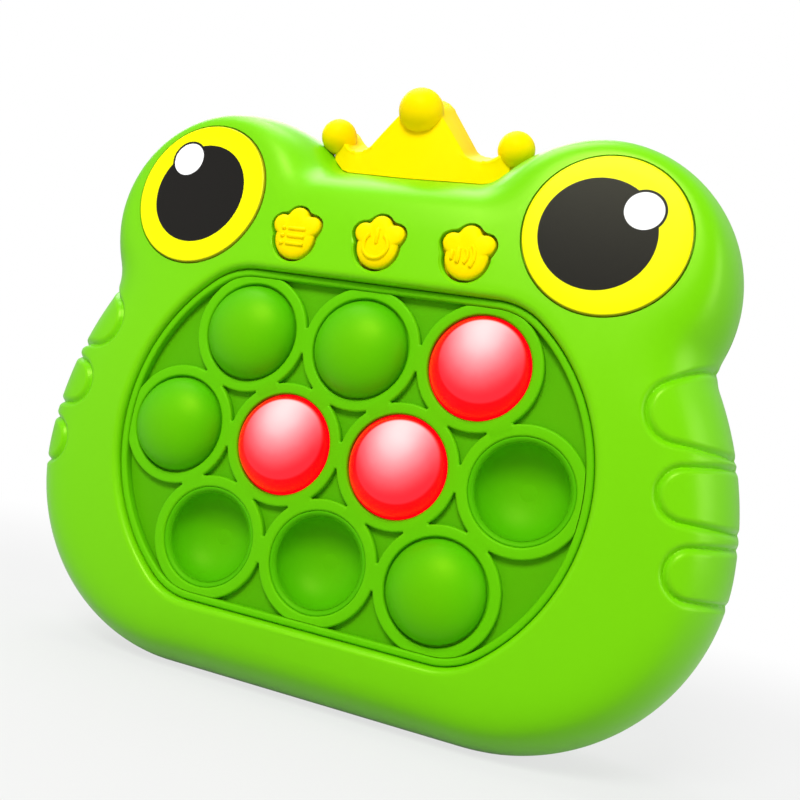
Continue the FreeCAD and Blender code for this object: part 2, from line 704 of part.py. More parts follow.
def bubble(x, z, pushed):
    """A thin dome with a rim and a stem. A pushed-in one is turned through its rim plane."""
    radius = (DOME_R ** 2 + DOME_RISE ** 2) / (2 * DOME_RISE)
    inner = radius - DOME_WALL
    way = -1 if pushed else 1
    apex = RIM_DEPTH - way * DOME_RISE
    centre = apex + way * radius
    rim_far = RIM_DEPTH + BUBBLE_FLANGE_T
    rim_r = WELL_R - BUBBLE_GAP
    near = rim_far if way == 1 else RIM_DEPTH
    far = RIM_DEPTH if way == 1 else rim_far
    inner_rim = math.sqrt(inner ** 2 - (near - centre) ** 2)
    outer_rim = math.sqrt(radius ** 2 - (far - centre) ** 2)
    inner_mid = inner * math.sin(0.5 * math.asin(inner_rim / inner))
    outer_mid = radius * math.sin(0.5 * math.asin(outer_rim / radius))

    def spot(r, depth):
        return at(x + r, depth, PANEL_Z + z)

    outer_arc = [spot(0, apex), spot(outer_mid, centre - way * math.sqrt(radius ** 2 - outer_mid ** 2)),
                 spot(outer_rim, far)]
    inner_arc = [spot(inner_rim, near), spot(inner_mid, centre - way * math.sqrt(inner ** 2 - inner_mid ** 2)),
                 spot(0, apex + way * DOME_WALL)]
    edge_far, edge_near = spot(rim_r, far), spot(rim_r, near)
    rim = [[outer_arc[-1], edge_far], [edge_far, edge_near], [edge_near, inner_arc[0]]]
    outline = wire_of([outer_arc] + rim + [inner_arc, [inner_arc[-1], outer_arc[0]]])
    dome = Part.Face(outline).revolve(at(x, 0, PANEL_Z + z), V(0, 1, 0), 360)
    tip = STEM_TIP + (BUBBLE_STROKE if pushed else 0)
    root = apex + DOME_WALL / 2
    if pushed:
        root = apex - DOME_WALL / 2
    return fused([dome, rod(x, PANEL_Z + z, STEM_R, root, tip)])


def bubble_frame():
    """Stiff frame that clamps the panel's edge and spaces the board, with a light well behind each bubble."""
    hole = WELL_R - BUBBLE_GAP + FRAME_HOLE_GAP
    shapes = [opening_prism(PANEL_FLANGE, FRAME_FRONT, FRAME_FRONT + FRAME_T)]
    shapes += [rod(x, z, LUG_R, FRAME_FRONT, FRAME_FRONT + FRAME_T) for x, z in lugs()]
    shapes += [link_plate(x, z) for x, z in lugs()]
    shapes += [rod(x, PANEL_Z + z, hole + TUBE_WALL, FRAME_FRONT, BOARD_FRONT) for x, z in CENTRES]
    shapes += [rod(x, z, POST_R, FRAME_FRONT, BOARD_FRONT) for x, z in board_posts()]
    frame = fused(shapes)
    holes = [rod(x, PANEL_Z + z, hole, 0, BOARD_FRONT) for x, z in CENTRES]
    deep = BOARD_FRONT - SMALL_SCREW_L
    holes += [rod(x, z, SMALL_SCREW_R + SCREW_GAP, deep, BOARD_FRONT) for x, z in board_posts()]
    holes += [rod(x, z, SMALL_SCREW_R + HEAD_GAP, FRAME_FRONT, FRAME_FRONT + FRAME_T) for x, z in lugs()]
    return frame.cut(fused(holes))


def link_plate(x, z):
    """Joins a screw lug to the frame's plate."""
    centre = V(x, 0, z - PANEL_Z)
    inward = centre * (1 - LINK_L / centre.Length)
    side = V(-centre.z, 0, centre.x).normalize() * LUG_R
    corners = [centre + side, centre - side, inward - side, inward + side]
    points = [at(c.x, FRAME_FRONT, PANEL_Z + c.z) for c in corners]
    return prism(Part.makePolygon(points + [points[0]]), FRAME_T)


def frame_screws():
    return [small_screw(x, z, FRAME_FRONT + FRAME_T) for x, z in lugs()]


def main_board():
    board = opening_prism(-BOARD_IN, BOARD_FRONT, BOARD_BACK)
    holes = [rod(x, z, SMALL_SCREW_R + HEAD_GAP, BOARD_FRONT, BOARD_BACK) for x, z in board_posts()]
    return board.cut(fused(holes))


def board_screws():
    return [small_screw(x, z, BOARD_BACK) for x, z in board_posts()]


def snap_domes():
    shapes = []
    for x, z in CENTRES:
        disc = rod(x, PANEL_Z + z, SNAP_R, BOARD_FRONT - SNAP_H, BOARD_FRONT)
        front = min(disc.Edges, key=lambda e: e.CenterOfMass.y)
        shapes.append(disc.makeChamfer(SNAP_H / 2, [front]))
    return shapes


def leds():
    shapes = []
    for x, z in CENTRES:
        low = PANEL_Z + z + LED_OFF - LED_W / 2
        body = block(x - LED_L / 2, x + LED_L / 2, BOARD_FRONT - LED_H, BOARD_FRONT, low, low + LED_W)
        front = BOARD_FRONT - LED_H
        window = rod(x, PANEL_Z + z + LED_OFF, LED_W / 2 - LED_WINDOW_IN, front, front + LED_WINDOW_IN)
        shapes.append(body.cut(window))
    return shapes


def control_chip():
    x, z = -PITCH, PANEL_Z + ROW
    half = CHIP_SIDE / 2
    body = block(x - half, x + half, BOARD_BACK, BOARD_BACK + CHIP_H, z - half, z + half)
    pins = []
    count = int(CHIP_SIDE / (2 * CHIP_PIN))
    for i in range(count):
        s = (i - (count - 1) / 2) * 2 * CHIP_PIN
        w = CHIP_PIN / 4
        reach = half + CHIP_PIN
        pins.append(block(x + s - w, x + s + w, BOARD_BACK, BOARD_BACK + 2 * w, z - reach, z + reach))
        pins.append(block(x - reach, x + reach, BOARD_BACK, BOARD_BACK + 2 * w, z + s - w, z + s + w))
    return fused([body] + pins)


def capacitors():
    x = OPEN_HALF_W - BOARD_IN - CAN_PITCH
    shapes = []
    for side in (1, -1):
        can = rod(x, PANEL_Z + side * CAN_PITCH / 2, CAN_R, BOARD_BACK, BOARD_BACK + CAN_H)
        shapes.append(can.makeFillet(CAN_EDGE_R, [max(can.Edges, key=lambda e: e.CenterOfMass.y)]))
    return shapes


def button_board_front():
    return button_stem_end() + BUTTON_TRAVEL + PLUNGER_GAP + PLUNGER_H + SWITCH_H


def button_flange_front():
    return face_depth(0, BUTTON_Z + PALM_R + TOE_REACH) + WALL + BUTTON_GAP


def button_stem_end():
    return button_flange_front() + BUTTON_FLANGE_T + BUTTON_STEM_L


def button_icon(slot, x, front):
    """The raised strokes of the sign on one button."""
    z = BUTTON_Z - PAD_DROP + ICON_UP
    top = front - ICON_H
    deep = front + ICON_H
    w = ICON_W / 2
    strokes = []
    if slot == -1:
        for row in (-1, 0, 1):
            rz = z + LIST_STEP * row
            strokes.append(block(x + LIST_START_X, x + LIST_END_X, top, deep, rz - w, rz + w))
            strokes.append(rod(x + LIST_DOT_X, rz, w, top, deep))
    elif slot == 0:
        ring = tube(x, z, POWER_R, POWER_R - ICON_W, top, deep)
        gap = POWER_GAP_W / 2
        strokes.append(ring.cut(block(x - gap, x + gap, top, deep, z, z + POWER_R)))
        strokes.append(block(x - w, x + w, top, deep, z + POWER_BAR_LOW, z + POWER_BAR_HIGH))
    else:
        for i, half in enumerate(WAVE_HALVES):
            cx = x + WAVE_STEP * (i - (len(WAVE_HALVES) - 1) / 2)
            strokes.append(block(cx - w, cx + w, top, deep, z - half, z + half))
    return strokes


def button(slot):
    x = slot * BUTTON_PITCH
    front = face_depth(x, BUTTON_Z) - BUTTON_PROUD
    flange = button_flange_front()
    cap = paw_prism(x, 0, front, flange + BUTTON_FLANGE_T)
    low = BUTTON_Z - PAD_DROP - PALM_R
    skirt = paw_prism(x, BUTTON_FLANGE, flange, flange + BUTTON_FLANGE_T)
    skirt = skirt.common(block(x - 2 * PALM_R, x + 2 * PALM_R, flange, 2 * BACK, low, TOP_Z))
    stem = rod(x, BUTTON_Z - PAD_DROP, BUTTON_STEM_R, flange, button_stem_end())
    return fused([cap, skirt, stem] + button_icon(slot, x, front))


def button_board():
    z = BUTTON_Z - PAD_DROP
    front = button_board_front()
    board = block(-BUTTON_BOARD_L / 2, BUTTON_BOARD_L / 2, front, front + BUTTON_BOARD_T,
                  z - BUTTON_BOARD_W / 2, z + BUTTON_BOARD_W / 2)
    hole_r = SMALL_SCREW_R + HEAD_GAP
    holes = [rod(s * BUTTON_POST_X, BUTTON_Z, hole_r, front, front + BUTTON_BOARD_T) for s in (1, -1)]
    return board.cut(fused(holes))


def button_switches():
    z = BUTTON_Z - PAD_DROP
    front = button_board_front()
    half = SWITCH_SIDE / 2
    shapes = []
    for slot in (-1, 0, 1):
        x = slot * BUTTON_PITCH
        case = block(x - half, x + half, front - SWITCH_H, front, z - half, z + half)
        plunger = rod(x, z, PLUNGER_R, front - SWITCH_H - PLUNGER_H, front - SWITCH_H)
        shapes.append(fused([case, plunger]))
    return shapes


def button_board_screws():
    seat = button_board_front() + BUTTON_BOARD_T
    return [small_screw(s * BUTTON_POST_X, BUTTON_Z, seat) for s in (1, -1)]


def speaker():
    front = BACK_IN - SPEAKER_BASKET_T
    basket = rod(0, SPEAKER_Z, SPEAKER_R, front, BACK_IN)
    mouth = at(0, BACK_IN, SPEAKER_Z)
    cone = Part.makeCone(SPEAKER_R - SPEAKER_RIM_W, MAGNET_R, CONE_DEPTH, mouth, V(0, -1, 0))
    magnet = rod(0, SPEAKER_Z, MAGNET_R, BACK_IN - SPEAKER_T - MAGNET_T, front)
    return fused([basket.cut(cone), magnet])


def case_screws():
    return [screw(x, z, CASE_SCREW_R, CASE_HEAD_R, CASE_HEAD_H, CASE_HEAD_DEPTH, CASE_SCREW_L)
            for x, z in both_sides(CASE_SCREWS)]


def cell_ways():
    """Height and pointing direction of each battery."""
    return [(BOX_Z + (i - 1) * CELL_PITCH, -1 if i % 2 else 1) for i in range(3)]


def battery(index):
    z, way = cell_ways()[index]
    can_l = CELL_L - CELL_NUB_H
    start = -way * CELL_L / 2
    can = Part.makeCylinder(CELL_R, can_l, at(start, CELL_DEPTH, z), V(way, 0, 0))
    can = can.makeFillet(CELL_EDGE_R, circles(can, CELL_R))
    nub = Part.makeCylinder(CELL_NUB_R, CELL_NUB_H, at(start + way * can_l, CELL_DEPTH, z), V(way, 0, 0))
    return fused([can, nub])


def contact_plates():
    """A plate at each end of each battery. The one at the battery's nub has a raised cone that reaches it."""
    shapes = []
    half = CONTACT_SIDE / 2
    for z, way in cell_ways():
        for end in (1, -1):
            x0, x1 = sorted((end * (BOX_HALF_L - CONTACT_T), end * BOX_HALF_L))
            plate = block(x0, x1, CELL_DEPTH - half, CELL_DEPTH + half, z - half, z + half)
            if end == way:
                reach = BOX_HALF_L - CONTACT_T / 2 - CELL_L / 2
                root = at(end * (BOX_HALF_L - CONTACT_T / 2), CELL_DEPTH, z)
                plate = fused([plate, Part.makeCone(SPRING_R, CELL_NUB_R, reach, root, V(-end, 0, 0))])
            shapes.append(plate)
    return shapes


def battery_springs():
    """Conical springs between the box end and each battery's flat end."""
    shapes = []
    for z, way in cell_ways():
        start = at(-way * (BOX_HALF_L - CONTACT_T), CELL_DEPTH, z)
        length = BOX_HALF_L - CONTACT_T - CELL_L / 2
        outer = Part.makeCone(SPRING_R, SPRING_TIP_R, length, start, V(way, 0, 0))
        wall = 2 * SPRING_WIRE_R
        inner = Part.makeCone(SPRING_R - wall, SPRING_TIP_R - wall, length, start, V(way, 0, 0))
        shapes.append(outer.cut(inner))
    return shapes


def lead(points):
    """A round lead along straight runs joined by tangent arcs."""
    edges = []
    start = points[0]
    runs = [(b - a).Length for a, b in zip(points, points[1:])]
    for i in range(1, len(points) - 1):
        into = (points[i] - points[i - 1]).normalize()
        out = (points[i + 1] - points[i]).normalize()
        cut = LEAD_BEND_SHARE * min(runs[i - 1], runs[i])
        first = points[i] - into * cut
        last = points[i] + out * cut
        half_turn = into.getAngle(out) / 2
        radius = cut / math.tan(half_turn)
        bisector = (out - into).normalize()
        middle = points[i] + bisector * (radius / math.cos(half_turn) - radius)
        edges.append(Part.LineSegment(start, first).toShape())
        edges.append(Part.Arc(first, middle, last).toShape())
        start = last
    edges.append(Part.LineSegment(start, points[-1]).toShape())
    path = Part.Wire(edges)
    along = (points[1] - points[0]).normalize()
    section = Part.Wire([Part.makeCircle(LEAD_R, points[0], along)])
    return path.makePipeShell([section], True, False)


def battery_leads():
    """Two leads from the contact plates, out through the box's end and forwards to the main board."""
    shapes = []
    for side in (1, -1):
        z = BOX_Z + side * CELL_PITCH
        out = BOX_HALF_L + BOX_LEAD_OUT
        shapes.append(lead([at(BOX_HALF_L, CELL_DEPTH, z), at(out, CELL_DEPTH, z), at(out, BOARD_BACK, z)]))
    return shapes


def speaker_leads():
    """Two leads from the front of the speaker's basket to the main board."""
    shapes = []
    start = BACK_IN - SPEAKER_BASKET_T
    run = (start - BOARD_BACK) / 3
    for side in (1, -1):
        x = side * SPEAKER_LEAD_X
        high = SPEAKER_Z - SPEAKER_LEAD_DROP
        low = high - run
        shapes.append(lead([at(x, start, high), at(x, start - run, high), at(x, start - 2 * run, low),
                            at(x, BOARD_BACK, low)]))
    return shapes


def button_ribbon():
    """A flat ribbon that runs back from the button board, down and forwards to the main board."""
    near, far = button_board_front() + BUTTON_BOARD_T, BOARD_BACK + RIBBON_BACK
    x0, x1 = RIBBON_X - RIBBON_W / 2, RIBBON_X + RIBBON_W / 2
    high = BUTTON_Z - PAD_DROP - BUTTON_BOARD_W / 2 + RIBBON_LAP
    low = PANEL_Z + OPEN_HALF_H - BOARD_IN - RIBBON_LAP
    top = block(x0, x1, near, far, high, high + RIBBON_T)
    back = block(x0, x1, far - RIBBON_T, far, low - RIBBON_T, high + RIBBON_T)
    bottom = block(x0, x1, BOARD_BACK, far, low - RIBBON_T, low)
    return fused([top, back, bottom])


def write(name, shape):
    if isinstance(shape, list):
        shape = Part.makeCompound(shape)
    elif shape.ShapeType == "Compound" and len(shape.Solids) == 1:
        shape = shape.Solids[0]
    state = "valid" if shape.isValid() else "INVALID"
    print(name, len(shape.Solids), "solids", round(shape.Volume, 1), "mm3", state)
    shape.exportStep("parts/" + name + ".step")


write("front_shell", front_shell())
write("rear_shell", rear_shell())
write("crown", crown())
write("eye_disc_left", eye_disc(-1))
write("eye_disc_right", eye_disc(1))
write("bubble_panel", bubble_panel())
for number, (bx, bz) in enumerate(CENTRES):
    write("bubble_%02d" % (number + 1), bubble(bx, bz, number in PUSHED_IN))
write("bubble_frame", bubble_frame())
write("frame_screws", frame_screws())
write("main_board", main_board())
write("board_screws", board_screws())
write("snap_domes", snap_domes())
write("leds", leds())
write("control_chip", control_chip())
write("capacitors", capacitors())
write("menu_button", button(-1))
write("power_button", button(0))
write("volume_button", button(1))
write("button_board", button_board())
write("button_switches", button_switches())
write("button_board_screws", button_board_screws())
write("speaker", speaker())
write("case_screws", case_screws())
for index in range(3):
    write("battery_%d" % (index + 1), battery(index))
write("contact_plates", contact_plates())
write("battery_springs", battery_springs())
write("battery_leads", battery_leads())
write("speaker_leads", speaker_leads())
write("button_ribbon", button_ribbon())
write("battery_door", battery_door())
write("door_screw", door_screw())
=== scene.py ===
import math

import bmesh
import bpy
from bpy.props import FloatProperty, FloatVectorProperty, IntProperty, PointerProperty
from mathutils import Matrix, Vector
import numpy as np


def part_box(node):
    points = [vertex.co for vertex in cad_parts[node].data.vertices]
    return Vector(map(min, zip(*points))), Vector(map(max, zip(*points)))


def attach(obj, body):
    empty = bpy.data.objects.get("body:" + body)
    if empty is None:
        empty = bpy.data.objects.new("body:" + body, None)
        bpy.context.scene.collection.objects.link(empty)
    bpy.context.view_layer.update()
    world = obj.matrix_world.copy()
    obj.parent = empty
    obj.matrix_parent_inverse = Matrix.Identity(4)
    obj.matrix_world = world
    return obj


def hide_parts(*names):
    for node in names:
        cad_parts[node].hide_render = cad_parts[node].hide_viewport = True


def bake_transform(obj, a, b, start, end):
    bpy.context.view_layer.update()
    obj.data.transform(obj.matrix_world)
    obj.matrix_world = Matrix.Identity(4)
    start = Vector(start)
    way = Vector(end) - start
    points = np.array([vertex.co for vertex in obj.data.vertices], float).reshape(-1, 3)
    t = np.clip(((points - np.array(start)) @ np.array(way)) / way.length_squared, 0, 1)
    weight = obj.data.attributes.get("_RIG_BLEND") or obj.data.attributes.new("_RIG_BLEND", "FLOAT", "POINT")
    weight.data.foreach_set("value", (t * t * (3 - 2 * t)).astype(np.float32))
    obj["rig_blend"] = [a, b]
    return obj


bl_info = {
    "name": "Push Bubble Game",
    "version": (1, 0, 0),
    "blender": (4, 5, 0),
    "location": "View3D > Sidebar > Push Game",
    "description": "Builds the looks of a hand-held push-bubble game shaped as a frog's head",
    "category": "Object",
}

# The frame stands on its chin: X is to the right, Z is up and the face looks along -Y.
# Shapes are worked out in millimetres. Depths run backwards from the tops of the bubble rings.
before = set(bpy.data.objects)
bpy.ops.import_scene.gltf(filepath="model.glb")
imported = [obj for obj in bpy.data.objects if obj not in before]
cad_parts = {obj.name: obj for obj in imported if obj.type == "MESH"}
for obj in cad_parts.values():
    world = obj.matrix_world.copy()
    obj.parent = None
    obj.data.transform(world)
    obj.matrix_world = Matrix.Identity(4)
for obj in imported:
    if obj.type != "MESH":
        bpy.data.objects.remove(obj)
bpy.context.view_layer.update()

MM = 0.001
RING_Y = -14.75
PANEL_Z = 47.502

# Bubble field
PITCH = 23.5
ROW = PITCH * math.sqrt(3) / 2
CENTRES = [(i * PITCH, ROW) for i in (-1, 0, 1)]
CENTRES += [((i - 1.5) * PITCH, 0.0) for i in range(4)]
CENTRES += [(i * PITCH, -ROW) for i in (-1, 0, 1)]
PUSHED_IN = (7, 8, 9)
LIT = (3, 5, 6)
WELL_R = 9.7
RING_R = 11.9
RING_H = 1.5
WEB_T = 2.0
RIM_DEPTH = 1.0
DOME_RISE = 6.0

# Panel opening
OPEN_HALF_W = 47.7
OPEN_HALF_H = 33.002
OPENING_SIDE_R = 38.5
OPENING_CORNER_R = 14.0
COLLAR_W = 2.2
LIP = 1.3

# Case outline where it is widest, and how far each part of it moves in towards the front and the back
HALF_W = 72.1
SIDE_R = 70.0
SIDE_DROP = 7.4
CORNER_R = 41.0
NECK_R = 8.0
VALLEY_R = 6.0
EYE_DOME = (37.6, 87.902)
EYE_DOME_R = 28.0
FOOT_CUT = 0.8
TOP_Z = 105.604
FRONT_INSET = dict(side=20.0, chin=15.0, top=15.0, corner=17.0, neck=8.0, valley=6.0, eye=19.0)
REAR_INSET = dict(side=14.0, chin=8.0, top=12.0, corner=11.0, neck=4.0, valley=4.0, eye=11.0)
FRONT_MOVE = (4.0, 6.7)
REAR_MOVE = (0.0, 0.0)
PARTING = 16.5
FRONT_REACH = 20.0
REAR_REACH = 18.0
BACK = 34.5
WALL = 2.2
FACE_R = 570.0
FACE_RISE = 3.5
FOLD_TURN = math.radians(70)
SEAM_INSET = 0.8
SEAM_SHARE = 0.012
FRONT_STEPS = 30
FACE_STEPS = 18
REAR_STEPS = 26

# Grip pads: start inside the case's side, height of the round end over the panel's centre, its radius, rise
GRIPS = ((18.3, 18.4, 5.5, 34.0), (14.2, 4.7, 4.7, 13.0), (10.9, -8.2, 4.5, 9.0))
GROOVE_DEPTH = 0.8

# Eyes, buttons and crown
EYE_X = 41.6
EYE_Z = 94.602
EYE_R = 14.9
PUPILS = {-1: (-0.15, -0.1), 1: (-1.5, -0.1)}
GLINTS = {-1: (-5.0, 7.1), 1: (5.8, 5.0)}
GLINT_R = 3.5
EYE_SEAT = 1.15
BUTTON_Z = 88.104
BUTTON_PITCH = 17.6
PAW_Z = BUTTON_Z - 0.9
PALM_R = 4.15
SKIRT_LOW = 3.9
TOES = ((1.9, 4.1, math.radians(-50)), (2.15, 4.0, 0.0), (1.9, 4.1, math.radians(50)))
SKIRT_BACK = 2.093
SIGN_W = 0.75
CROWN_TIP_X = 19.2
CROWN_FRONT = 6.0
CROWN_THICK = 13.8
CROWN_LEAN = 4.8
LEAN_H = 3.6
TENON_HALF_W = 9.15
TENON_HALF_T = 2.65

# Back
BOX_Z = 39.1
BOX_HALF_L = 25.25
BOX_HALF_H = 16.95
BOX_FLOOR = 20.5
BOX_WALL = 1.6
DOOR_FRONT = 32.4
DOOR_HALF_L = 27.55
DOOR_HALF_H = 19.25
DOOR_SCREW_Z = 59.25
DOOR_EAR_R = 4.3
SPEAKER_Z = 80.1
SPEAKER_SEAT_R = 12.2
GRILLE_PITCH = 3.2
CASE_SCREWS = [(42.0, 93.1), (59.0, 45.1), (49.0, 21.1)]
BOSS_R = 3.6

# Camera at the photograph's viewing angle, in metres
CAMERA_PLACE = (0.07175, -0.1829, 0.0462)
CAMERA_AXES = ((0.925, -0.160, 0.344), (0.324, -0.137, -0.936), (0.197, 0.978, -0.075))
CAMERA_LENS = 43.907

# Lights: place, width and height in metres, and power
LIGHTS = {
    "key": ((0.015, -0.53, 0.505), (0.3, 0.22), 4.35),
    "fill": ((-0.5, -0.45, 0.15), (0.4, 0.5), 0.4),
    "top": ((-0.25, 0.07, 0.8), (0.5, 0.35), 2.4),
    "side": ((0.6, -0.05, 0.22), (0.3, 0.35), 1.15),
    "rim": ((-0.35, 0.45, 0.5), (0.6, 0.3), 1.6),
}


def at(x, depth, z):
    """A point in millimetres at a depth behind the tops of the bubble rings."""
    return Vector((x, RING_Y + depth, z))


def softened_max(a, b, k):
    """The larger of two lengths, with the corner between them rounded over about k."""
    h = max(k - abs(a - b), 0.0) / k
    return max(a, b) + h * h * k / 4


def quarter_turn(steps, first=0):
    """Angles from 0 to a right angle, in even steps."""
    return [math.pi / 2 * i / steps for i in range(first, steps + 1)]


def both_sides(points):
    """Points on the right and their mirror images on the left."""
    return [(side * x, z) for x, z in points for side in (1, -1)]


# Outlines, as distances along rays from the panel's centre


def tangent_centre(c1, r1, c2, r2):
    """Centre of a circle that lies r1 from c1 and r2 from c2, on the outer side."""
    dx, dz = c2[0] - c1[0], c2[1] - c1[1]
    gap = math.hypot(dx, dz)
    along = (r1 * r1 - r2 * r2 + gap * gap) / (2 * gap)
    off = math.sqrt(r1 * r1 - along * along)
    return c1[0] + (dx * along + dz * off) / gap, c1[1] + (dz * along - dx * off) / gap


def between(c1, c2, share):
    """A point on the line through two points, at a share of the way from the first to the second."""
    return c1[0] + (c2[0] - c1[0]) * share, c1[1] + (c2[1] - c1[1]) * share


class Outline:
    """A closed outline of arcs and a straight floor and roof, symmetric about the middle."""

    def __init__(self, floor, roof, arcs, start):
        self.floor = floor
        self.roof = roof
        self.start = self.direction(start)
        self.arcs = [(centre, radius, bulge, self.direction(end)) for centre, radius, bulge, end in arcs]

    @staticmethod
    def direction(point):
        return math.atan2(point[1] - PANEL_Z, point[0])

    def reach(self, ray):
        """Distance from the panel's centre to the outline along a ray."""
        cos, sin = abs(math.cos(ray)), math.sin(ray)
        turn = math.atan2(sin, cos)
        if turn < self.start:
            return (self.floor - PANEL_Z) / sin
        for centre, radius, bulge, end in self.arcs:
            if turn <= end:
                cx, cz = centre[0], centre[1] - PANEL_Z
                along = cx * cos + cz * sin
                span = math.sqrt(max(along * along - cx * cx - cz * cz + radius * radius, 0.0))
                return along + bulge * span
        return (self.roof - PANEL_Z) / sin


def case_outline(turn, inset, move, grow):
    """The case's outline: turn is 0 where it is widest and 1 at its end, grow widens it."""
    side = (HALF_W - SIDE_R, PANEL_Z - SIDE_DROP)
    side_r = SIDE_R - inset["side"] * turn + grow
    floor = -FOOT_CUT + inset["chin"] * turn - grow
    corner_r = CORNER_R - inset["corner"] * turn + grow
    corner_z = floor + corner_r
    corner = (side[0] + math.sqrt((side_r - corner_r) ** 2 - (corner_z - side[1]) ** 2), corner_z)
    eye = (EYE_DOME[0] + move[0] * turn, EYE_DOME[1] + move[1] * turn)
    eye_r = EYE_DOME_R - inset["eye"] * turn + grow
    neck_r = NECK_R + inset["neck"] * turn - grow
    neck = tangent_centre(side, side_r + neck_r, eye, eye_r + neck_r)
    roof = TOP_Z - inset["top"] * turn + grow
    valley_r = VALLEY_R + inset["valley"] * turn - grow
    valley_z = roof + valley_r
    valley = (eye[0] - math.sqrt((eye_r + valley_r) ** 2 - (valley_z - eye[1]) ** 2), valley_z)
    arcs = [
        (corner, corner_r, 1, between(side, corner, side_r / (side_r - corner_r))),
        (side, side_r, 1, between(side, neck, side_r / (side_r + neck_r))),
        (neck, neck_r, -1, between(eye, neck, eye_r / (eye_r + neck_r))),
        (eye, eye_r, 1, between(eye, valley, eye_r / (eye_r + valley_r))),
        (valley, valley_r, -1, (valley[0], roof)),
    ]
    return Outline(floor, roof, arcs, (corner[0], floor))


def opening_outline(grow):
    """The barrel-shaped outline of the panel opening, widened by grow."""
    half_h = OPEN_HALF_H + grow
    side_r, corner_r = OPENING_SIDE_R + grow, OPENING_CORNER_R + grow
    side_x = OPEN_HALF_W + grow - side_r
    up = half_h - corner_r
    across = side_x + math.sqrt((side_r - corner_r) ** 2 - up * up)
    side = (side_x, PANEL_Z)
    low, high = (across, PANEL_Z - up), (across, PANEL_Z + up)
    share = side_r / (side_r - corner_r)
    arcs = [
        (low, corner_r, 1, between(side, low, share)),
        (side, side_r, 1, between(side, high, share)),
        (high, corner_r, 1, (across, PANEL_Z + half_h)),
    ]
    return Outline(PANEL_Z - half_h, PANEL_Z + half_h, arcs, (across, PANEL_Z - half_h))


def face_depth(x, z, grow=0.0):
    """Depth of the domed face at a point, in front of it by grow."""
    return FACE_R - FACE_RISE - math.sqrt((FACE_R + grow) ** 2 - x * x - (z - PANEL_Z) ** 2)


def standing(point):
    """Flattens the foot: no point lies below the ground."""
    return Vector((point.x, point.y, softened_max(point.z, 0.0, 0.5)))


class CaseForm:
    """The front or rear form of the case, as points by ray and by share of the way round its edge."""

    def __init__(self, grow=0.0):
        self.grow = grow
        self.kept = {}

    def outline(self, key, turn, inset, move):
        if key not in self.kept:
            self.kept[key] = case_outline(turn, inset, move, self.grow)
        return self.kept[key]

    def front(self, ray, share):
        """Share 0 is the parting plane, 1 the fold onto the face, 2 the middle of the face."""
        a = min(share, 1.0) * FOLD_TURN
        reach = self.outline(("front", round(a, 7)), 1 - math.cos(a), FRONT_INSET, FRONT_MOVE).reach(ray)
        inward = reach * max(share - 1.0, 0.0)
        reach -= inward
        depth = PARTING - (FRONT_REACH + self.grow) * math.sin(a) - inward / math.tan(FOLD_TURN)
        x, z = reach * math.cos(ray), PANEL_Z + reach * math.sin(ray)
        return standing(at(x, softened_max(depth, face_depth(x, z, self.grow), 2.4), z))

    def rear(self, ray, share):
        """Share 0 is the parting plane and 1 the edge of the flat back."""
        a = share * math.pi / 2
        reach = self.outline(("rear", round(a, 7)), 1 - math.cos(a), REAR_INSET, REAR_MOVE).reach(ray)
        depth = PARTING + (REAR_REACH + self.grow) * math.sin(a)
        return standing(at(reach * math.cos(ray), depth, PANEL_Z + reach * math.sin(ray)))

    def seam(self, ray, inset):
        """A point on the parting plane, in from the widest outline."""
        reach = self.outline("seam", 0.0, FRONT_INSET, FRONT_MOVE).reach(ray) - inset
        return standing(at(reach * math.cos(ray), PARTING, PANEL_Z + reach * math.sin(ray)))


def opening_ring(grow, depth):
    """Points on the opening's outline, at a fixed depth or on a surface given by a function."""
    outline = opening_outline(grow)

    def point(ray):
        reach = outline.reach(ray)
        x, z = reach * math.cos(ray), PANEL_Z + reach * math.sin(ray)
        return at(x, depth(x, z) if callable(depth) else depth, z)

    return point


# Mesh helpers


def skin(rings, count):
    """A skin of quads through rings of points. A ring is a function of the ray, which each point keeps."""
    bm = bmesh.new()
    ray = bm.verts.layers.float.new("ray")
    ring = bm.verts.layers.float.new("ring")
    verts = bmesh.ops.create_circle(bm, segments=count, radius=1.0)["verts"]
    for v in verts:
        v[ray] = (math.atan2(v.co.y, v.co.x) + math.pi / 2) % (2 * math.pi) - math.pi / 2
    edges = list(bm.edges)
    for number, point in enumerate(rings):
        if number:
            made = bmesh.ops.extrude_edge_only(bm, edges=edges)["geom"]
            verts = verts_of(made)
            edges = [g for g in made if isinstance(g, bmesh.types.BMEdge) and g.is_boundary]
        for v in verts:
            v.co = point(v[ray])
            v[ring] = number
    return bm


def end_loops(bm):
    """The open edges at the first and the last ring of a skin."""
    ring = bm.verts.layers.float["ring"]
    last = max(v[ring] for v in bm.verts)
    open_edges = [e for e in bm.edges if e.is_boundary]
    return [[e for e in open_edges if e.verts[0][ring] == number] for number in (0, last)]


def close_ends(bm):
    """Fills both ends of a skin with one flat face each."""
    for loop in end_loops(bm):
        bmesh.ops.contextual_create(bm, geom=loop)


def join_ends(bm):
    """Joins the first ring of a skin to its last one."""
    first, last = end_loops(bm)
    bmesh.ops.bridge_loops(bm, edges=first + last)


def spun(profile, steps, closed=False):
    """Spins a profile of (radius, height) points about Z. A closed one makes a ring."""
    bm = bmesh.new()
    verts = [bm.verts.new((r, 0.0, h)) for r, h in profile]
    ends = verts[1:] + verts[:1] if closed else verts[1:]
    edges = [bm.edges.new(pair) for pair in zip(verts, ends)]
    bmesh.ops.spin(bm, geom=verts + edges, cent=(0, 0, 0), axis=(0, 0, 1), angle=2 * math.pi, steps=steps,
                   use_merge=True)
    bmesh.ops.remove_doubles(bm, verts=bm.verts, dist=1e-5)
    return bm


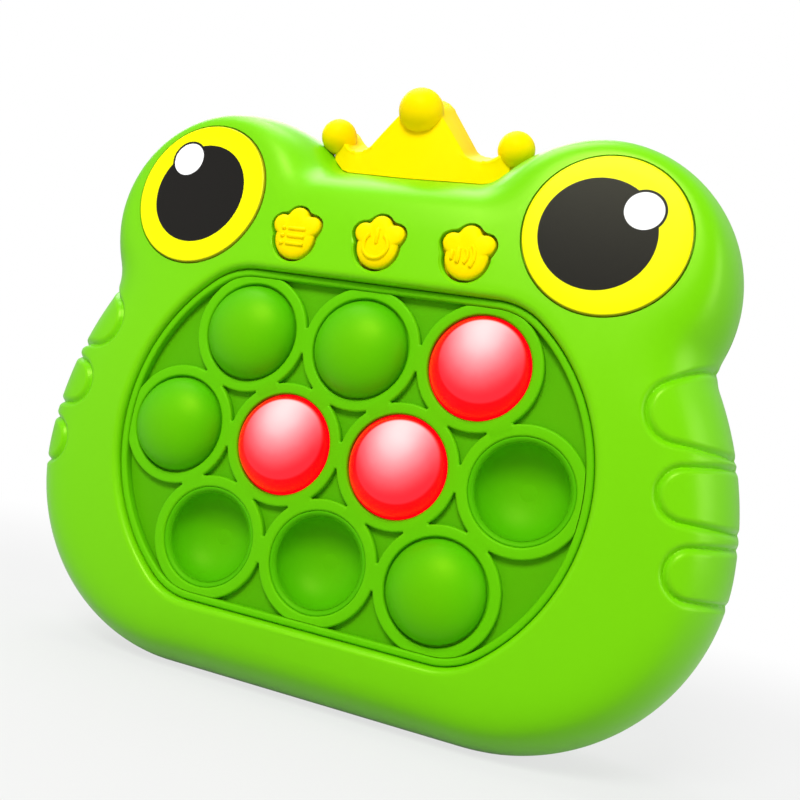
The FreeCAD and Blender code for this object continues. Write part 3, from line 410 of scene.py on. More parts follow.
def spun_at_well(profile, x, z, steps, closed=False):
    """Spins a profile of (radius, depth) points about the axis of a bubble's well."""
    bm = spun([(r, -RING_Y - depth) for r, depth in profile], steps, closed)
    place = Matrix.Translation((x, 0, PANEL_Z + z)) @ Matrix.Rotation(math.pi / 2, 4, "X")
    bmesh.ops.transform(bm, matrix=place, verts=bm.verts)
    return bm


def facing(centre, normal):
    """Places a shape made about Z so that Z points along the normal at the centre."""
    return Matrix.Translation(centre) @ Vector(normal).to_track_quat("Z", "Y").to_matrix().to_4x4()


def block(bm, x0, x1, d0, d1, z0, z1):
    """A box between two values across, in depth and in height."""
    size = Matrix.Diagonal((x1 - x0, d1 - d0, z1 - z0, 1.0))
    middle = Matrix.Translation(at((x0 + x1) / 2, (d0 + d1) / 2, (z0 + z1) / 2))
    return bmesh.ops.create_cube(bm, size=1.0, matrix=middle @ size)["verts"]


def rod(bm, x, z, radius, d0, d1, segments=48):
    """A round rod along the depth."""
    place = Matrix.Translation(at(x, (d0 + d1) / 2, z)) @ Matrix.Rotation(math.pi / 2, 4, "X")
    made = bmesh.ops.create_cone(bm, cap_ends=True, segments=segments, radius1=radius, radius2=radius,
                                 depth=d1 - d0, matrix=place)
    return made["verts"]


def verts_of(made):
    """The vertices among what an operator has made."""
    return [g for g in made if isinstance(g, bmesh.types.BMVert)]


def bevelled(bm, edges, offset, segments):
    """Rounds edges over."""
    bmesh.ops.bevel(bm, geom=edges, offset=offset, offset_type="OFFSET", segments=segments, profile=0.5,
                    affect="EDGES", material=-1)


def cut_through(bm, point, normal):
    """Adds edges where a plane crosses a shape."""
    geom = list(bm.verts) + list(bm.edges) + list(bm.faces)
    bmesh.ops.bisect_plane(bm, geom=geom, dist=1e-4, plane_co=point, plane_no=normal)


def outward(bm):
    """Turns the faces of a closed shape outwards."""
    bmesh.ops.recalc_face_normals(bm, faces=bm.faces)
    return bm


def solid(name, bm):
    """A helper object in millimetres."""
    mesh = bpy.data.meshes.new(name)
    bm.to_mesh(mesh)
    bm.free()
    helper = bpy.data.objects.new(name, mesh)
    bpy.context.scene.collection.objects.link(helper)
    return helper


def one_solid(name, make, *values):
    """A helper object whose bmesh is filled by a function."""
    bm = bmesh.new()
    make(bm, *values)
    return solid(name, outward(bm))


def combine(target, others, operation):
    """Cuts, joins or meets a helper object with others, which are used up."""
    group = bpy.data.collections.new("used_up")
    bpy.context.scene.collection.children.link(group)
    for other in others:
        bpy.context.scene.collection.objects.unlink(other)
        group.objects.link(other)
    step = target.modifiers.new("combine", "BOOLEAN")
    step.operation = operation
    step.operand_type = "COLLECTION"
    step.collection = group
    step.solver = "MANIFOLD"
    graph = bpy.context.evaluated_depsgraph_get()
    mesh = bpy.data.meshes.new_from_object(target.evaluated_get(graph))
    target.modifiers.clear()
    target.data = mesh
    for other in others:
        bpy.data.objects.remove(other)
    bpy.data.collections.remove(group)
    return target


def finished(piece, material, body, slot, nodes=(), crease=35):
    """Brings a helper object to metres, shades it smooth between its creases, and places it in the frame."""
    piece.data.transform(Matrix.Scale(MM, 4))
    piece.data.shade_smooth()
    piece.data.set_sharp_from_angle(angle=math.radians(crease))
    piece.data.materials.clear()
    piece.data.materials.append(material)
    if body:
        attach(piece, body)
    if nodes:
        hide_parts(*nodes)


def rounded_edges(piece, width, above):
    """Rounds every edge that is sharper than an angle, as moulding does."""
    step = piece.modifiers.new("rounded_edges", "BEVEL")
    step.width = width * MM
    step.segments = 3
    step.limit_method = "ANGLE"
    step.angle_limit = math.radians(above)
    step.use_clamp_overlap = True
    step.harden_normals = False


def refined(name, node):
    """A copy of a CAD node's mesh in millimetres, with its loose triangles joined to flat faces."""
    bm = bmesh.new()
    bm.from_mesh(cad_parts[node].data)
    bmesh.ops.remove_doubles(bm, verts=bm.verts, dist=1e-6)
    bmesh.ops.dissolve_limit(bm, angle_limit=math.radians(1), verts=bm.verts, edges=bm.edges)
    bmesh.ops.scale(bm, vec=(1 / MM, 1 / MM, 1 / MM), verts=bm.verts)
    return solid(name, bm)


# Materials


class Value:
    """A number on a shader socket: arithmetic on it adds the Math nodes that it needs."""

    def __init__(self, finish, socket):
        self.finish = finish
        self.socket = socket

    def math(self, operation, *others, swap=False):
        values = [self, *others]
        if swap:
            values.reverse()
        return self.finish.node("ShaderNodeMath", {"operation": operation}, dict(enumerate(values))).value()

    def __add__(self, other):
        return self.math("ADD", other)

    def __radd__(self, other):
        return self.math("ADD", other)

    def __sub__(self, other):
        return self.math("SUBTRACT", other)

    def __rsub__(self, other):
        return self.math("SUBTRACT", other, swap=True)

    def __mul__(self, other):
        return self.math("MULTIPLY", other)

    def __rmul__(self, other):
        return self.math("MULTIPLY", other)

    def __pow__(self, other):
        return self.math("POWER", other)

    def above(self, low, high):
        """0 below low, 1 above high and smooth between them."""
        settings = {"interpolation_type": "SMOOTHSTEP"}
        inputs = {"Value": self, "From Min": low, "From Max": high}
        return self.finish.node("ShaderNodeMapRange", settings, inputs).value("Result")

    def below(self, low, high):
        """1 below low, 0 above high and smooth between them."""
        return 1.0 - self.above(low, high)


class Placed:
    """A shader node, whose outputs are taken by name."""

    def __init__(self, finish, node):
        self.finish = finish
        self.node = node

    def value(self, name=0):
        return Value(self.finish, self.node.outputs[name])


class Finish:
    """A material that is put together from nodes around one Principled shader."""

    def __init__(self, name, roughness=0.4, metallic=0.0, coat=0.0, specular=0.5, tint=(1.0, 1.0, 1.0)):
        self.material = bpy.data.materials.new(name)
        self.material.use_nodes = True
        self.tree = self.material.node_tree
        self.shader = self.tree.nodes["Principled BSDF"]
        sockets = self.shader.inputs
        sockets["Roughness"].default_value = roughness
        sockets["Metallic"].default_value = metallic
        sockets["Coat Weight"].default_value = coat
        sockets["Specular IOR Level"].default_value = specular
        sockets["Specular Tint"].default_value = paint(tint)
        self.place = self.node("ShaderNodeTexCoord").value("Object")

    def node(self, kind, settings=None, inputs=None):
        """A node of a type, with its settings, and the values or links of its sockets."""
        made = self.tree.nodes.new(kind)
        for name, value in (settings or {}).items():
            setattr(made, name, value)
        for name, value in (inputs or {}).items():
            if isinstance(value, Value):
                self.tree.links.new(value.socket, made.inputs[name])
            else:
                made.inputs[name].default_value = value
        return Placed(self, made)

    def feed(self, name, value):
        self.tree.links.new(value.socket, self.shader.inputs[name])

    def noise(self, scale, detail=2.0, rough=0.5):
        """Noise about 0.5, with a scale in waves per metre."""
        inputs = {"Vector": self.place, "Scale": scale, "Detail": detail, "Roughness": rough}
        return self.node("ShaderNodeTexNoise", {"noise_dimensions": "3D"}, inputs).value("Fac")

    def blend(self, share, first, second):
        """Mixes two colours, each a colour or a link."""
        return self.node("ShaderNodeMix", {"data_type": "RGBA"}, {0: share, 6: first, 7: second}).value(2)

    def part(self, axis, place=None):
        """One coordinate of a place."""
        return self.node("ShaderNodeSeparateXYZ", None, {0: place or self.place}).value(axis)

    def moved(self, centre, turn=(0.0, 0.0, 0.0)):
        """The object's coordinates from a centre in metres, turned."""
        settings = {"vector_type": "TEXTURE"}
        inputs = {"Vector": self.place, "Location": centre, "Rotation": turn}
        return self.node("ShaderNodeMapping", settings, inputs).value()

    def length(self, place):
        return self.node("ShaderNodeVectorMath", {"operation": "LENGTH"}, {0: place}).value("Value")

    def off_axis(self, place):
        """Distance from the line that runs backwards through a place's centre."""
        inputs = {0: place, 1: (1.0, 0.0, 1.0)}
        return self.length(self.node("ShaderNodeVectorMath", {"operation": "MULTIPLY"}, inputs).value())

    def clouded(self, share, colour, change):
        """A colour that is a little darker where the share is low and lighter where it is high."""
        return self.blend(share, paint(shaded(colour, 1 - change)), paint(shaded(colour, 1 + change)))

    def bump(self, height, distance):
        """Raises the surface by a height from 0 to 1, times a distance in metres."""
        inputs = {"Height": height, "Distance": distance}
        self.feed("Normal", self.node("ShaderNodeBump", None, inputs).value())


def paint(colour):
    """A colour for a shader socket."""
    return (*colour, 1.0)


def shaded(colour, factor):
    """A colour made darker or lighter by a factor."""
    return tuple(min(c * factor, 1.0) for c in colour)


def moulded(name, colour, grain, roughness, depth, wear, specular=0.5, tint=(1.0, 1.0, 1.0)):
    """Moulded plastic or rubber: faint clouds in the colour, a fine grain and uneven gloss."""
    finish = Finish(name, roughness=roughness, specular=specular, tint=tint)
    clouds = finish.noise(24.0, 3.0)
    specks = finish.noise(900.0, 2.0)
    tone = (clouds - 0.5) * 1.2 + (specks - 0.5) * 0.25 + 0.5
    finish.feed("Base Color", finish.clouded(tone, colour, wear))
    handled = finish.noise(70.0, 4.0, 0.65)
    finish.feed("Roughness", (handled - 0.5) * 0.12 + (specks - 0.5) * 0.08 + roughness)
    finish.bump(finish.noise(grain, 3.0, 0.6), depth)
    return finish


def centre_turn(normal):
    """The turn of a flat piece that faces along a normal."""
    return tuple(Vector(normal).to_track_quat("Z", "Y").to_euler())


# Shapes: the case


def grip_edge(x, z, pad):
    """Distance of a point to the edge of a grip pad, negative inside the pad."""
    inward, up, radius, rise = pad
    cx, cz = HALF_W - inward + radius, PANEL_Z + up
    px, pz = abs(x) - cx, z - cz
    a = math.radians(rise)
    above = -px * math.sin(a) + pz * math.cos(a)
    if above > 0 and px * math.cos(a) + pz * math.sin(a) > 0:
        return above - radius
    if pz < 0 < px:
        return -pz - radius
    if px > 0 and above <= 0 <= pz:
        return max(above, -pz) - radius
    return math.hypot(px, pz) - radius


def groove_depth(x, z):
    """How deep the nearest grip groove is at a point: sharp at its bottom, rounded at both lips."""
    edge = min((grip_edge(x, z, pad) for pad in GRIPS), key=abs)
    off = (math.hypot(edge, 0.12) - 0.12) / 1.15
    return GROOVE_DEPTH * (1 - off) ** 2 if off < 1 else 0.0


def carve_grips(bm, surface, share_at, first, last):
    """Refines a case skin along the grip grooves and presses them in, less deep towards the seam."""
    ray = bm.verts.layers.float["ray"]
    ring = bm.verts.layers.float["ring"]

    def near(v, reach):
        if not (first - 0.01 <= v[ring] <= last + 0.01) or abs(v.co.x) < HALF_W - 21:
            return False
        return min(abs(grip_edge(v.co.x, v.co.z, pad)) for pad in GRIPS) < reach

    edges = [e for e in bm.edges if near(e.verts[0], 2.0) and near(e.verts[1], 2.0)]
    bmesh.ops.subdivide_edges(bm, edges=edges, cuts=3, use_grid_fill=True)
    step = 1e-4
    for v in [v for v in bm.verts if near(v, 2.6)]:
        share = share_at(v[ray], v[ring])
        here = surface(v[ray], share)
        across = surface(v[ray] + step, share) - here
        along = surface(v[ray], share + step) - here
        normal = across.cross(along).normalized()
        if normal.dot(here - at(0, PARTING, PANEL_Z)) < 0:
            normal.negate()
        seam = min(0.4 + abs(here.y - RING_Y - PARTING) / 3, 1.0)
        v.co = here - normal * groove_depth(here.x, here.z) * seam


def front_share():
    """Gives a function for the share of the way round the front's edge at a ray and a ring of the skin."""
    fold = CaseForm().outline("fold", 1 - math.cos(FOLD_TURN), FRONT_INSET, FRONT_MOVE)
    edge = opening_outline(LIP)

    def share(ray, ring):
        steps = ring - 1
        if steps <= FRONT_STEPS:
            return steps / FRONT_STEPS
        return 1 + (steps - FRONT_STEPS) / FACE_STEPS * (1 - edge.reach(ray) / fold.reach(ray))

    return share


def front_rings():
    """Rings of the front half: over its edge and face, down the opening's wall and back along the inside."""
    outer, inner = CaseForm(), CaseForm(-WALL)
    share_at = front_share()
    rings = [lambda ray: outer.seam(ray, SEAM_INSET)]
    for i in range(FRONT_STEPS + 1):
        rings.append(lambda ray, share=max(i / FRONT_STEPS, SEAM_SHARE): outer.front(ray, share))
    for i in range(1, FACE_STEPS + 1):
        rings.append(lambda ray, ring=1 + FRONT_STEPS + i: outer.front(ray, share_at(ray, ring)))
    for a in quarter_turn(6, 1):
        drop = LIP * (1 - math.cos(a))
        rings.append(opening_ring(LIP * (1 - math.sin(a)), lambda x, z, drop=drop: face_depth(x, z) + drop))
    rings += [opening_ring(0.0, RING_H), opening_ring(COLLAR_W, RING_H)]
    start = opening_outline(COLLAR_W)
    fold = inner.outline("fold", 1 - math.cos(FOLD_TURN), FRONT_INSET, FRONT_MOVE)
    for i in range(6, -1, -1):
        rings.append(lambda ray, i=i: inner.front(ray, 1 + i / 6 * (1 - start.reach(ray) / fold.reach(ray))))
    for i in range(11, -1, -1):
        rings.append(lambda ray, share=i / 12: inner.front(ray, share))
    return rings


def case_front_skin(count):
    """The front half as one closed skin with its grip grooves."""
    bm = skin(front_rings(), count)
    carve_grips(bm, CaseForm().front, front_share(), 1, FRONT_STEPS + FACE_STEPS)
    join_ends(bm)
    return outward(bm)


def case_rear_skin(count):
    """The rear half as one closed skin: the inside from its middle, the seam and the outside."""
    outer, inner = CaseForm(), CaseForm(-WALL)
    rings = [lambda ray, share=i / 10: inner.rear(ray, share) for i in range(10, -1, -1)]
    rings.append(lambda ray: outer.seam(ray, SEAM_INSET))
    first = len(rings)
    for i in range(REAR_STEPS + 1):
        rings.append(lambda ray, share=max(i / REAR_STEPS, SEAM_SHARE): outer.rear(ray, share))

    def share_at(ray, ring):
        return (ring - first) / REAR_STEPS

    bm = skin(rings, count)
    carve_grips(bm, CaseForm().rear, share_at, first, first + REAR_STEPS - 1)
    close_ends(bm)
    return outward(bm)


def case_form_solid():
    """The whole case as one plain solid, a little larger than the case, to fit the crown against."""
    form = CaseForm(0.1)
    rings = [lambda ray, share=share: form.front(ray, share) for share in (1.9, 1.6, 1.3, 1.15)]
    rings += [lambda ray, i=i: form.front(ray, i / 12) for i in range(12, 0, -1)]
    rings += [lambda ray, i=i: form.rear(ray, i / 12) for i in range(0, 13)]
    bm = skin(rings, 256)
    close_ends(bm)
    return solid("case_form", outward(bm))


def paw_reach(ray, grow):
    """Distance from the palm's middle to a paw's outline: a palm with three toes."""
    best = PALM_R + grow
    for radius, reach, spread in TOES:
        off = ray - math.pi / 2 + spread
        along = reach * math.cos(off)
        room = (radius + grow) ** 2 - (reach * math.sin(off)) ** 2
        if along > 0 and room > 0:
            best = softened_max(best, along + math.sqrt(room), 1.2)
    return best


def paw_ring(x, grow, depth, share=1.0):
    """Points on a paw's outline. Its skirt ends level with the palm, where the case's collar begins."""
    def point(ray):
        reach = paw_reach(ray, grow) * share
        z = PAW_Z + reach * math.sin(ray)
        return at(x + reach * math.cos(ray), depth, max(z, PAW_Z - SKIRT_LOW) if depth > 0 else z)

    return point


def paw_cutter(x, front):
    """A paw-shaped hole with a flared rim."""
    rings = [paw_ring(x, 1.8, front - 1.2), paw_ring(x, 0.8, front - 0.02)]
    rings += [paw_ring(x, 0.6, front + 0.1), paw_ring(x, 0.5, front + 0.4), paw_ring(x, 0.5, front + 6.0)]
    bm = skin(rings, 96)
    close_ends(bm)
    return solid("paw_hole", outward(bm))


def face_normal(x, z):
    """The way the face looks at a point."""
    return (at(x, face_depth(x, z), z) - at(0, FACE_R - FACE_RISE, PANEL_Z)).normalized()


def eye_place(side):
    """Places a shape made about Z on the face, at an eye's middle."""
    x = side * EYE_X
    return facing(at(x, face_depth(x, EYE_Z), EYE_Z), face_normal(x, EYE_Z))


def eye_cutter(side):
    """The round seat of an eye disc with a flared rim."""
    r = EYE_R + 0.15
    profile = [(0, -EYE_SEAT), (r, -EYE_SEAT), (r, -0.5), (r + 0.12, -0.25), (r + 0.3, 0.6), (0, 0.6)]
    bm = spun(profile, 128)
    bmesh.ops.transform(bm, matrix=eye_place(side), verts=bm.verts)
    return solid("eye_seat", outward(bm))


def tenon_slot(bm):
    """The slot in the case's top that the crown's root goes through."""
    block(bm, -TENON_HALF_W, TENON_HALF_W, PARTING - TENON_HALF_T, PARTING + TENON_HALF_T,
          TOP_Z - 8, TOP_Z + 4)


# Shapes: the panel and the bubbles


def opening_solid(name, grow, d0, d1):
    """A block of the opening's outline between two depths."""
    bm = skin([opening_ring(grow, d0), opening_ring(grow, d1)], 256)
    close_ends(bm)
    return solid(name, outward(bm))


def edge_band():
    """The raised band along the panel's edge, rounded over at its top."""
    outer, inner, low, top, soft = -0.12, -1.55, RING_H + 0.5, -0.35, 0.5
    profile = [(outer, low)]
    for a in quarter_turn(6):
        profile.append((outer - soft + soft * math.cos(a), top + soft - soft * math.sin(a)))
    for a in quarter_turn(6):
        profile.append((inner + soft - soft * math.sin(a), top + soft - soft * math.cos(a)))
    profile.append((inner, low))
    bm = skin([opening_ring(grow, depth) for grow, depth in profile], 320)
    join_ends(bm)
    return solid("band", outward(bm))


def well_ring(x, z):
    """The rounded ring round a bubble's well."""
    soft = sizes().soft_edge / MM
    low = RING_H + WEB_T - 0.2
    profile = [(WELL_R, low)]
    profile += [(WELL_R + soft - soft * math.cos(a), soft - soft * math.sin(a)) for a in quarter_turn(6)]
    profile += [(RING_R - soft + soft * math.sin(a), soft - soft * math.cos(a)) for a in quarter_turn(6)]
    profile.append((RING_R, low))
    return solid("ring", outward(spun_at_well(profile, x, z, 128, closed=True)))


def bridge(bm, first, second):
    """Fills the valley where two rings run into each other."""
    middle = ((first[0] + second[0]) / 2, (first[1] + second[1]) / 2)
    verts = block(bm, -1.3, 1.3, 0.0, RING_H + 0.5, -2.6, 2.6)
    turn = Matrix.Rotation(-math.atan2(second[1] - first[1], second[0] - first[0]), 4, "Y")
    place = Matrix.Translation((middle[0], 0, PANEL_Z + middle[1]))
    bmesh.ops.transform(bm, matrix=place @ turn, verts=verts)
    bevelled(bm, [e for e in bm.edges if all(v.co.y < RING_Y + 0.1 for v in e.verts)], 0.5, 5)


def bubble_panel():
    """The silicone panel: a plate with a raised band and ten wells, whose rings run into each other."""
    panel = opening_solid("bubble_field", COLLAR_W - 0.1, RING_H, RING_H + WEB_T)
    wells = [one_solid("well", rod, x, PANEL_Z + z, WELL_R + 0.15, 0.0, 6.0, 96) for x, z in CENTRES]
    combine(panel, wells, "DIFFERENCE")
    rings = [well_ring(x, z) for x, z in CENTRES]
    bridges = []
    for i, first in enumerate(CENTRES):
        for second in CENTRES[i + 1:]:
            if math.dist(first, second) < PITCH * 1.1:
                bridges.append(one_solid("bridge", bridge, first, second))
    relief = combine(rings[0], rings[1:] + bridges, "UNION")
    combine(relief, [opening_solid("inside_band", -1.65, -1.0, 5.0)], "INTERSECT")
    return combine(panel, [edge_band(), relief], "UNION")


def bubble_profile(pushed):
    """Radius and depth of a bubble's front face, from the wall of its well to its middle."""
    if pushed:
        lip = [(9.75, 1.3), (9.74, 0.6), (9.67, 0.42), (9.53, 0.35), (9.35, 0.36), (9.1, 0.5), (8.85, 0.73)]
        lip += [(8.68, 1.0), (8.6, 1.25)]
        radius, start, rise = 8.57, RIM_DEPTH + 0.5, DOME_RISE - 0.5
    else:
        lip = [(9.75, 1.5), (9.72, 1.1), (9.6, 1.02), (9.48, 1.02), (9.4, 1.04)]
        radius, start, rise = 9.35, RIM_DEPTH, -DOME_RISE
    return lip + [(radius * math.cos(a), start + rise * math.sin(a)) for a in quarter_turn(24)]


def bubble_sheet(name, x, z, pushed):
    """The front face of a bubble as an open sheet, which gets its wall from a modifier."""
    bm = outward(spun_at_well(bubble_profile(pushed), x, z, 128))
    middle = min(bm.faces, key=lambda f: (f.calc_center_median() - Vector((x, 0, PANEL_Z + z))).xz.length)
    if middle.normal.y > 0:
        bmesh.ops.reverse_faces(bm, faces=bm.faces)
    return solid(name, bm)


def stem(name, x, z, pushed):
    """The stem behind a bubble, which presses the contact."""
    root, tip = (RIM_DEPTH + DOME_RISE - 0.1, 13.0) if pushed else (RIM_DEPTH - DOME_RISE + 0.9, 1.0)
    profile = [(0, root), (1.9, root), (1.5, root + 0.5), (1.5, tip - 0.3), (1.2, tip), (0, tip)]
    return solid(name, outward(spun_at_well(profile, x, z, 32)))


# Shapes: buttons, eyes and crown


def paw_button(name, x, front):
    """A paw-shaped cap with puffy edges, down to its skirt behind the face."""
    puff = ((0.05, 0.0), (0.3, 0.0), (0.5, 0.02), (0.66, 0.08), (0.78, 0.2), (0.87, 0.38), (0.94, 0.62))
    puff += ((0.985, 0.85), (1.0, 1.2))
    rings = [paw_ring(x, 0.0, front + drop, share) for share, drop in puff]
    rings += [paw_ring(x, grow, SKIRT_BACK - back) for grow, back in ((0.0, 1.0), (0.8, 1.0), (0.8, 0.0))]
    bm = skin(rings, 160)
    close_ends(bm)
    return solid(name, outward(bm))


def bar(bm, place, x0, z0, x1, z1, width=SIGN_W):
    """A raised bar with rounded ends, made as a stretched ball."""
    verts = bmesh.ops.create_uvsphere(bm, u_segments=16, v_segments=10, radius=width / 2)["verts"]
    half = math.dist((x0, z0), (x1, z1)) / 2
    for v in verts:
        v.co.x += half if v.co.x > 1e-5 else (-half if v.co.x < -1e-5 else 0.0)
    turn = math.atan2(z1 - z0, x1 - x0)
    sign = Matrix.Translation(((x0 + x1) / 2, 0, (z0 + z1) / 2)) @ Matrix.Rotation(-turn, 4, "Y")
    bmesh.ops.transform(bm, matrix=place @ sign, verts=verts)


def arc(bm, place, centre, radius, start, end):
    """A raised arc on a button, round a centre from one angle in degrees to another."""
    before = set(bm.verts)
    upright = Matrix.Rotation(math.pi / 2, 4, "X")
    verts = bmesh.ops.create_circle(bm, segments=12, radius=SIGN_W / 2, matrix=upright)["verts"]
    bmesh.ops.translate(bm, vec=(radius, 0, 0), verts=verts)
    bmesh.ops.rotate(bm, verts=verts, cent=(0, 0, 0), matrix=Matrix.Rotation(math.radians(start), 3, "Z"))
    edges = [e for e in bm.edges if e.verts[0] in verts and e.verts[1] in verts]
    made = bmesh.ops.spin(bm, geom=verts + edges, cent=(0, 0, 0), axis=(0, 0, 1),
                          angle=math.radians(end - start), steps=32)
    bmesh.ops.contextual_create(bm, geom=edges)
    bmesh.ops.contextual_create(bm, geom=[g for g in made["geom_last"] if isinstance(g, bmesh.types.BMEdge)])
    turned = place @ Matrix.Translation((centre[0], 0, centre[1])) @ upright
    bmesh.ops.transform(bm, matrix=turned, verts=[v for v in bm.verts if v not in before])


def button_sign(name, slot, x, front):
    """The raised sign of one button: a list, a power sign or a loudspeaker with its sound."""
    bm = bmesh.new()
    place = Matrix.Translation(at(x, front - 0.06, PAW_Z + 0.1))
    if slot == -1:
        for row in (-1.5, 0.0, 1.5):
            bar(bm, place, -0.9, row, 2.2, row)
            bar(bm, place, -2.25, row, -2.05, row)
    elif slot == 0:
        arc(bm, place, (0.0, 0.0), 2.45, 125, 415)
        bar(bm, place, 0.0, 0.6, 0.0, 3.0)
    else:
        bar(bm, place, -2.5, -0.6, -2.5, 0.6, 0.8)
        bar(bm, place, -1.3, -1.1, -1.3, 1.1, 0.9)
        arc(bm, place, (-1.4, 0.0), 1.9, -42, 42)
        arc(bm, place, (-1.4, 0.0), 3.2, -36, 36)
    return solid(name, outward(bm))


def eye_disc(name, side):
    """A slightly domed disc with a rounded edge, tilted with the face."""
    profile = [(0, -EYE_SEAT), (EYE_R, -EYE_SEAT), (EYE_R, -0.3)]
    profile += [(EYE_R - 0.5 + 0.5 * math.cos(a), -0.25 + 0.5 * math.sin(a)) for a in quarter_turn(6, 1)]
    profile += [(EYE_R - 3, 0.27), (EYE_R - 8, 0.3), (0, 0.3)]
    bm = spun(profile, 128)
    bmesh.ops.transform(bm, matrix=eye_place(side), verts=bm.verts)
    return solid(name, outward(bm))


def crown_plate():
    """The crown's three spikes as one thick plate that bows forwards in the middle and rises to the back."""
    half = [(19.3, -12.0), (19.3, 0.0), (19.5, 5.2), (19.3, 6.3), (18.6, 6.9), (17.7, 6.8), (16.9, 6.2)]
    half += [(15.4, 4.7), (14.4, 3.95), (13.2, 3.6), (11.9, 3.6), (10.9, 3.9), (10.1, 4.5), (4.2, 11.6)]
    half += [(3.75, 12.2), (2.5, 13.1), (1.25, 13.6)]
    outline = half + [(0.0, 13.7)] + [(-x, z) for x, z in reversed(half)]
    bm = bmesh.new()
    face = bm.faces.new([bm.verts.new(at(x, CROWN_FRONT, TOP_Z + z)) for x, z in outline])
    made = bmesh.ops.extrude_face_region(bm, geom=[face])["geom"]
    bmesh.ops.translate(bm, vec=(0, CROWN_THICK, 0), verts=verts_of(made))
    outward(bm)
    for i in range(-15, 16):
        cut_through(bm, (i * 1.25, 0, 0), (1, 0, 0))
    for z in (TOP_Z, TOP_Z + LEAN_H):
        cut_through(bm, (0, 0, z), (0, 0, 1))
    for v in bm.verts:
        share = (v.co.y - RING_Y - CROWN_FRONT) / CROWN_THICK
        v.co.y += (5.3 * (1 - share) + 2.8 * share) * (v.co.x / CROWN_TIP_X) ** 2
        up = max(v.co.z - TOP_Z, 0.0)
        lean = share * min(up / LEAN_H, 1.0)
        v.co.y -= CROWN_LEAN * lean
        v.co.z += 2.9 * lean + 1.2 * share * up / 14.8
    sharp = [e for e in bm.edges if e.is_manifold and e.calc_face_angle(0.0) > math.radians(25)]
    bevelled(bm, sharp, 0.8, 4)
    return solid("crown_top", bm)


def crown_ball(x, z, radius, depth):
    """A ball on the tip of one of the crown's spikes."""
    bm = bmesh.new()
    place = Matrix.Translation(at(x, depth, z))
    bmesh.ops.create_uvsphere(bm, u_segments=48, v_segments=32, radius=radius, matrix=place)
    return solid("ball", bm)


def crown():
    """The crown above the case: what the case cuts off the plate inside it is taken away."""
    top = crown_plate()
    combine(top, [case_form_solid()], "DIFFERENCE")
    bm = bmesh.new()
    bm.from_mesh(top.data)
    bmesh.ops.delete(bm, geom=[v for v in bm.verts if v.co.z < TOP_Z - 11], context="VERTS")
    bm.to_mesh(top.data)
    bm.free()
    balls = [crown_ball(0.0, TOP_Z + 11.9, 4.5, 6.4)]
    balls += [crown_ball(side * CROWN_TIP_X, TOP_Z + 7.3, 3.7, 11.7) for side in (1, -1)]
    return combine(top, balls, "UNION")


# Shapes: the back


def rear_fittings():
    """Bosses, the battery box and the speaker's rim, inside the rear half."""
    parts = [one_solid("boss", rod, x, z, BOSS_R, PARTING, BACK - 1.0) for x, z in both_sides(CASE_SCREWS)]
    half_l, half_h = BOX_HALF_L + BOX_WALL, BOX_HALF_H + BOX_WALL
    parts.append(one_solid("box", block, -half_l, half_l, BOX_FLOOR - BOX_WALL, BACK - 1.0,
                           BOX_Z - half_h, BOX_Z + half_h))
    parts.append(one_solid("ear_boss", rod, 0, DOOR_SCREW_Z, 3.1, DOOR_FRONT - 6.0, BACK - 1.0))
    rim = one_solid("rim", rod, 0, SPEAKER_Z, SPEAKER_SEAT_R + 1.4, BACK - WALL - 4.5, BACK - 1.0, 96)
    seat = one_solid("seat", rod, 0, SPEAKER_Z, SPEAKER_SEAT_R, BACK - WALL - 6.0, BACK - WALL, 96)
    return parts + [combine(rim, [seat], "DIFFERENCE")]


def door_recess():
    """The stepped recess that the battery door lies in."""
    start, end = DOOR_FRONT - 0.1, BACK + 2
    bm = bmesh.new()
    block(bm, -DOOR_HALF_L, DOOR_HALF_L, start, end, BOX_Z - DOOR_HALF_H, BOX_Z + DOOR_HALF_H)
    outward(bm)
    bevelled(bm, [e for e in bm.edges if abs((e.verts[0].co - e.verts[1].co).normalized().y) > 0.9], 3.0, 8)
    ear = [one_solid("ear", rod, 0, DOOR_SCREW_Z, DOOR_EAR_R, start, end),
           one_solid("neck", block, -DOOR_EAR_R, DOOR_EAR_R, start, end, BOX_Z, DOOR_SCREW_Z)]
    return combine(solid("recess", bm), ear, "UNION")


def rear_holes():
    """Everything that is cut out of the rear half."""
    holes = [door_recess()]
    holes.append(one_solid("box_room", block, -BOX_HALF_L, BOX_HALF_L, BOX_FLOOR, BACK + 2,
                           BOX_Z - BOX_HALF_H, BOX_Z + BOX_HALF_H))
    holes.append(one_solid("ear_hole", rod, 0, DOOR_SCREW_Z, 1.5, DOOR_FRONT - 3.5, BACK + 2))
    for x in (14.0, -14.0):
        holes.append(one_solid("tongue_slot", block, x - 4.25, x + 4.25, 25.75, BACK - WALL,
                               BOX_Z - 22.0, BOX_Z - 16.0))
    holes += [flared_hole(x, z, 2.9, 28.0, 0.5, 48) for x, z in both_sides(CASE_SCREWS)]
    for i in range(4):
        reach = GRILLE_PITCH * i
        count = max(6 * i, 1)
        for k in range(count):
            a = 2 * math.pi * k / count
            x, z = reach * math.cos(a), SPEAKER_Z + reach * math.sin(a)
            holes.append(flared_hole(x, z, 0.9, BACK - WALL - 1.0, 0.3, 20))
    holes.append(one_solid("tenon_slot", tenon_slot))
    return holes


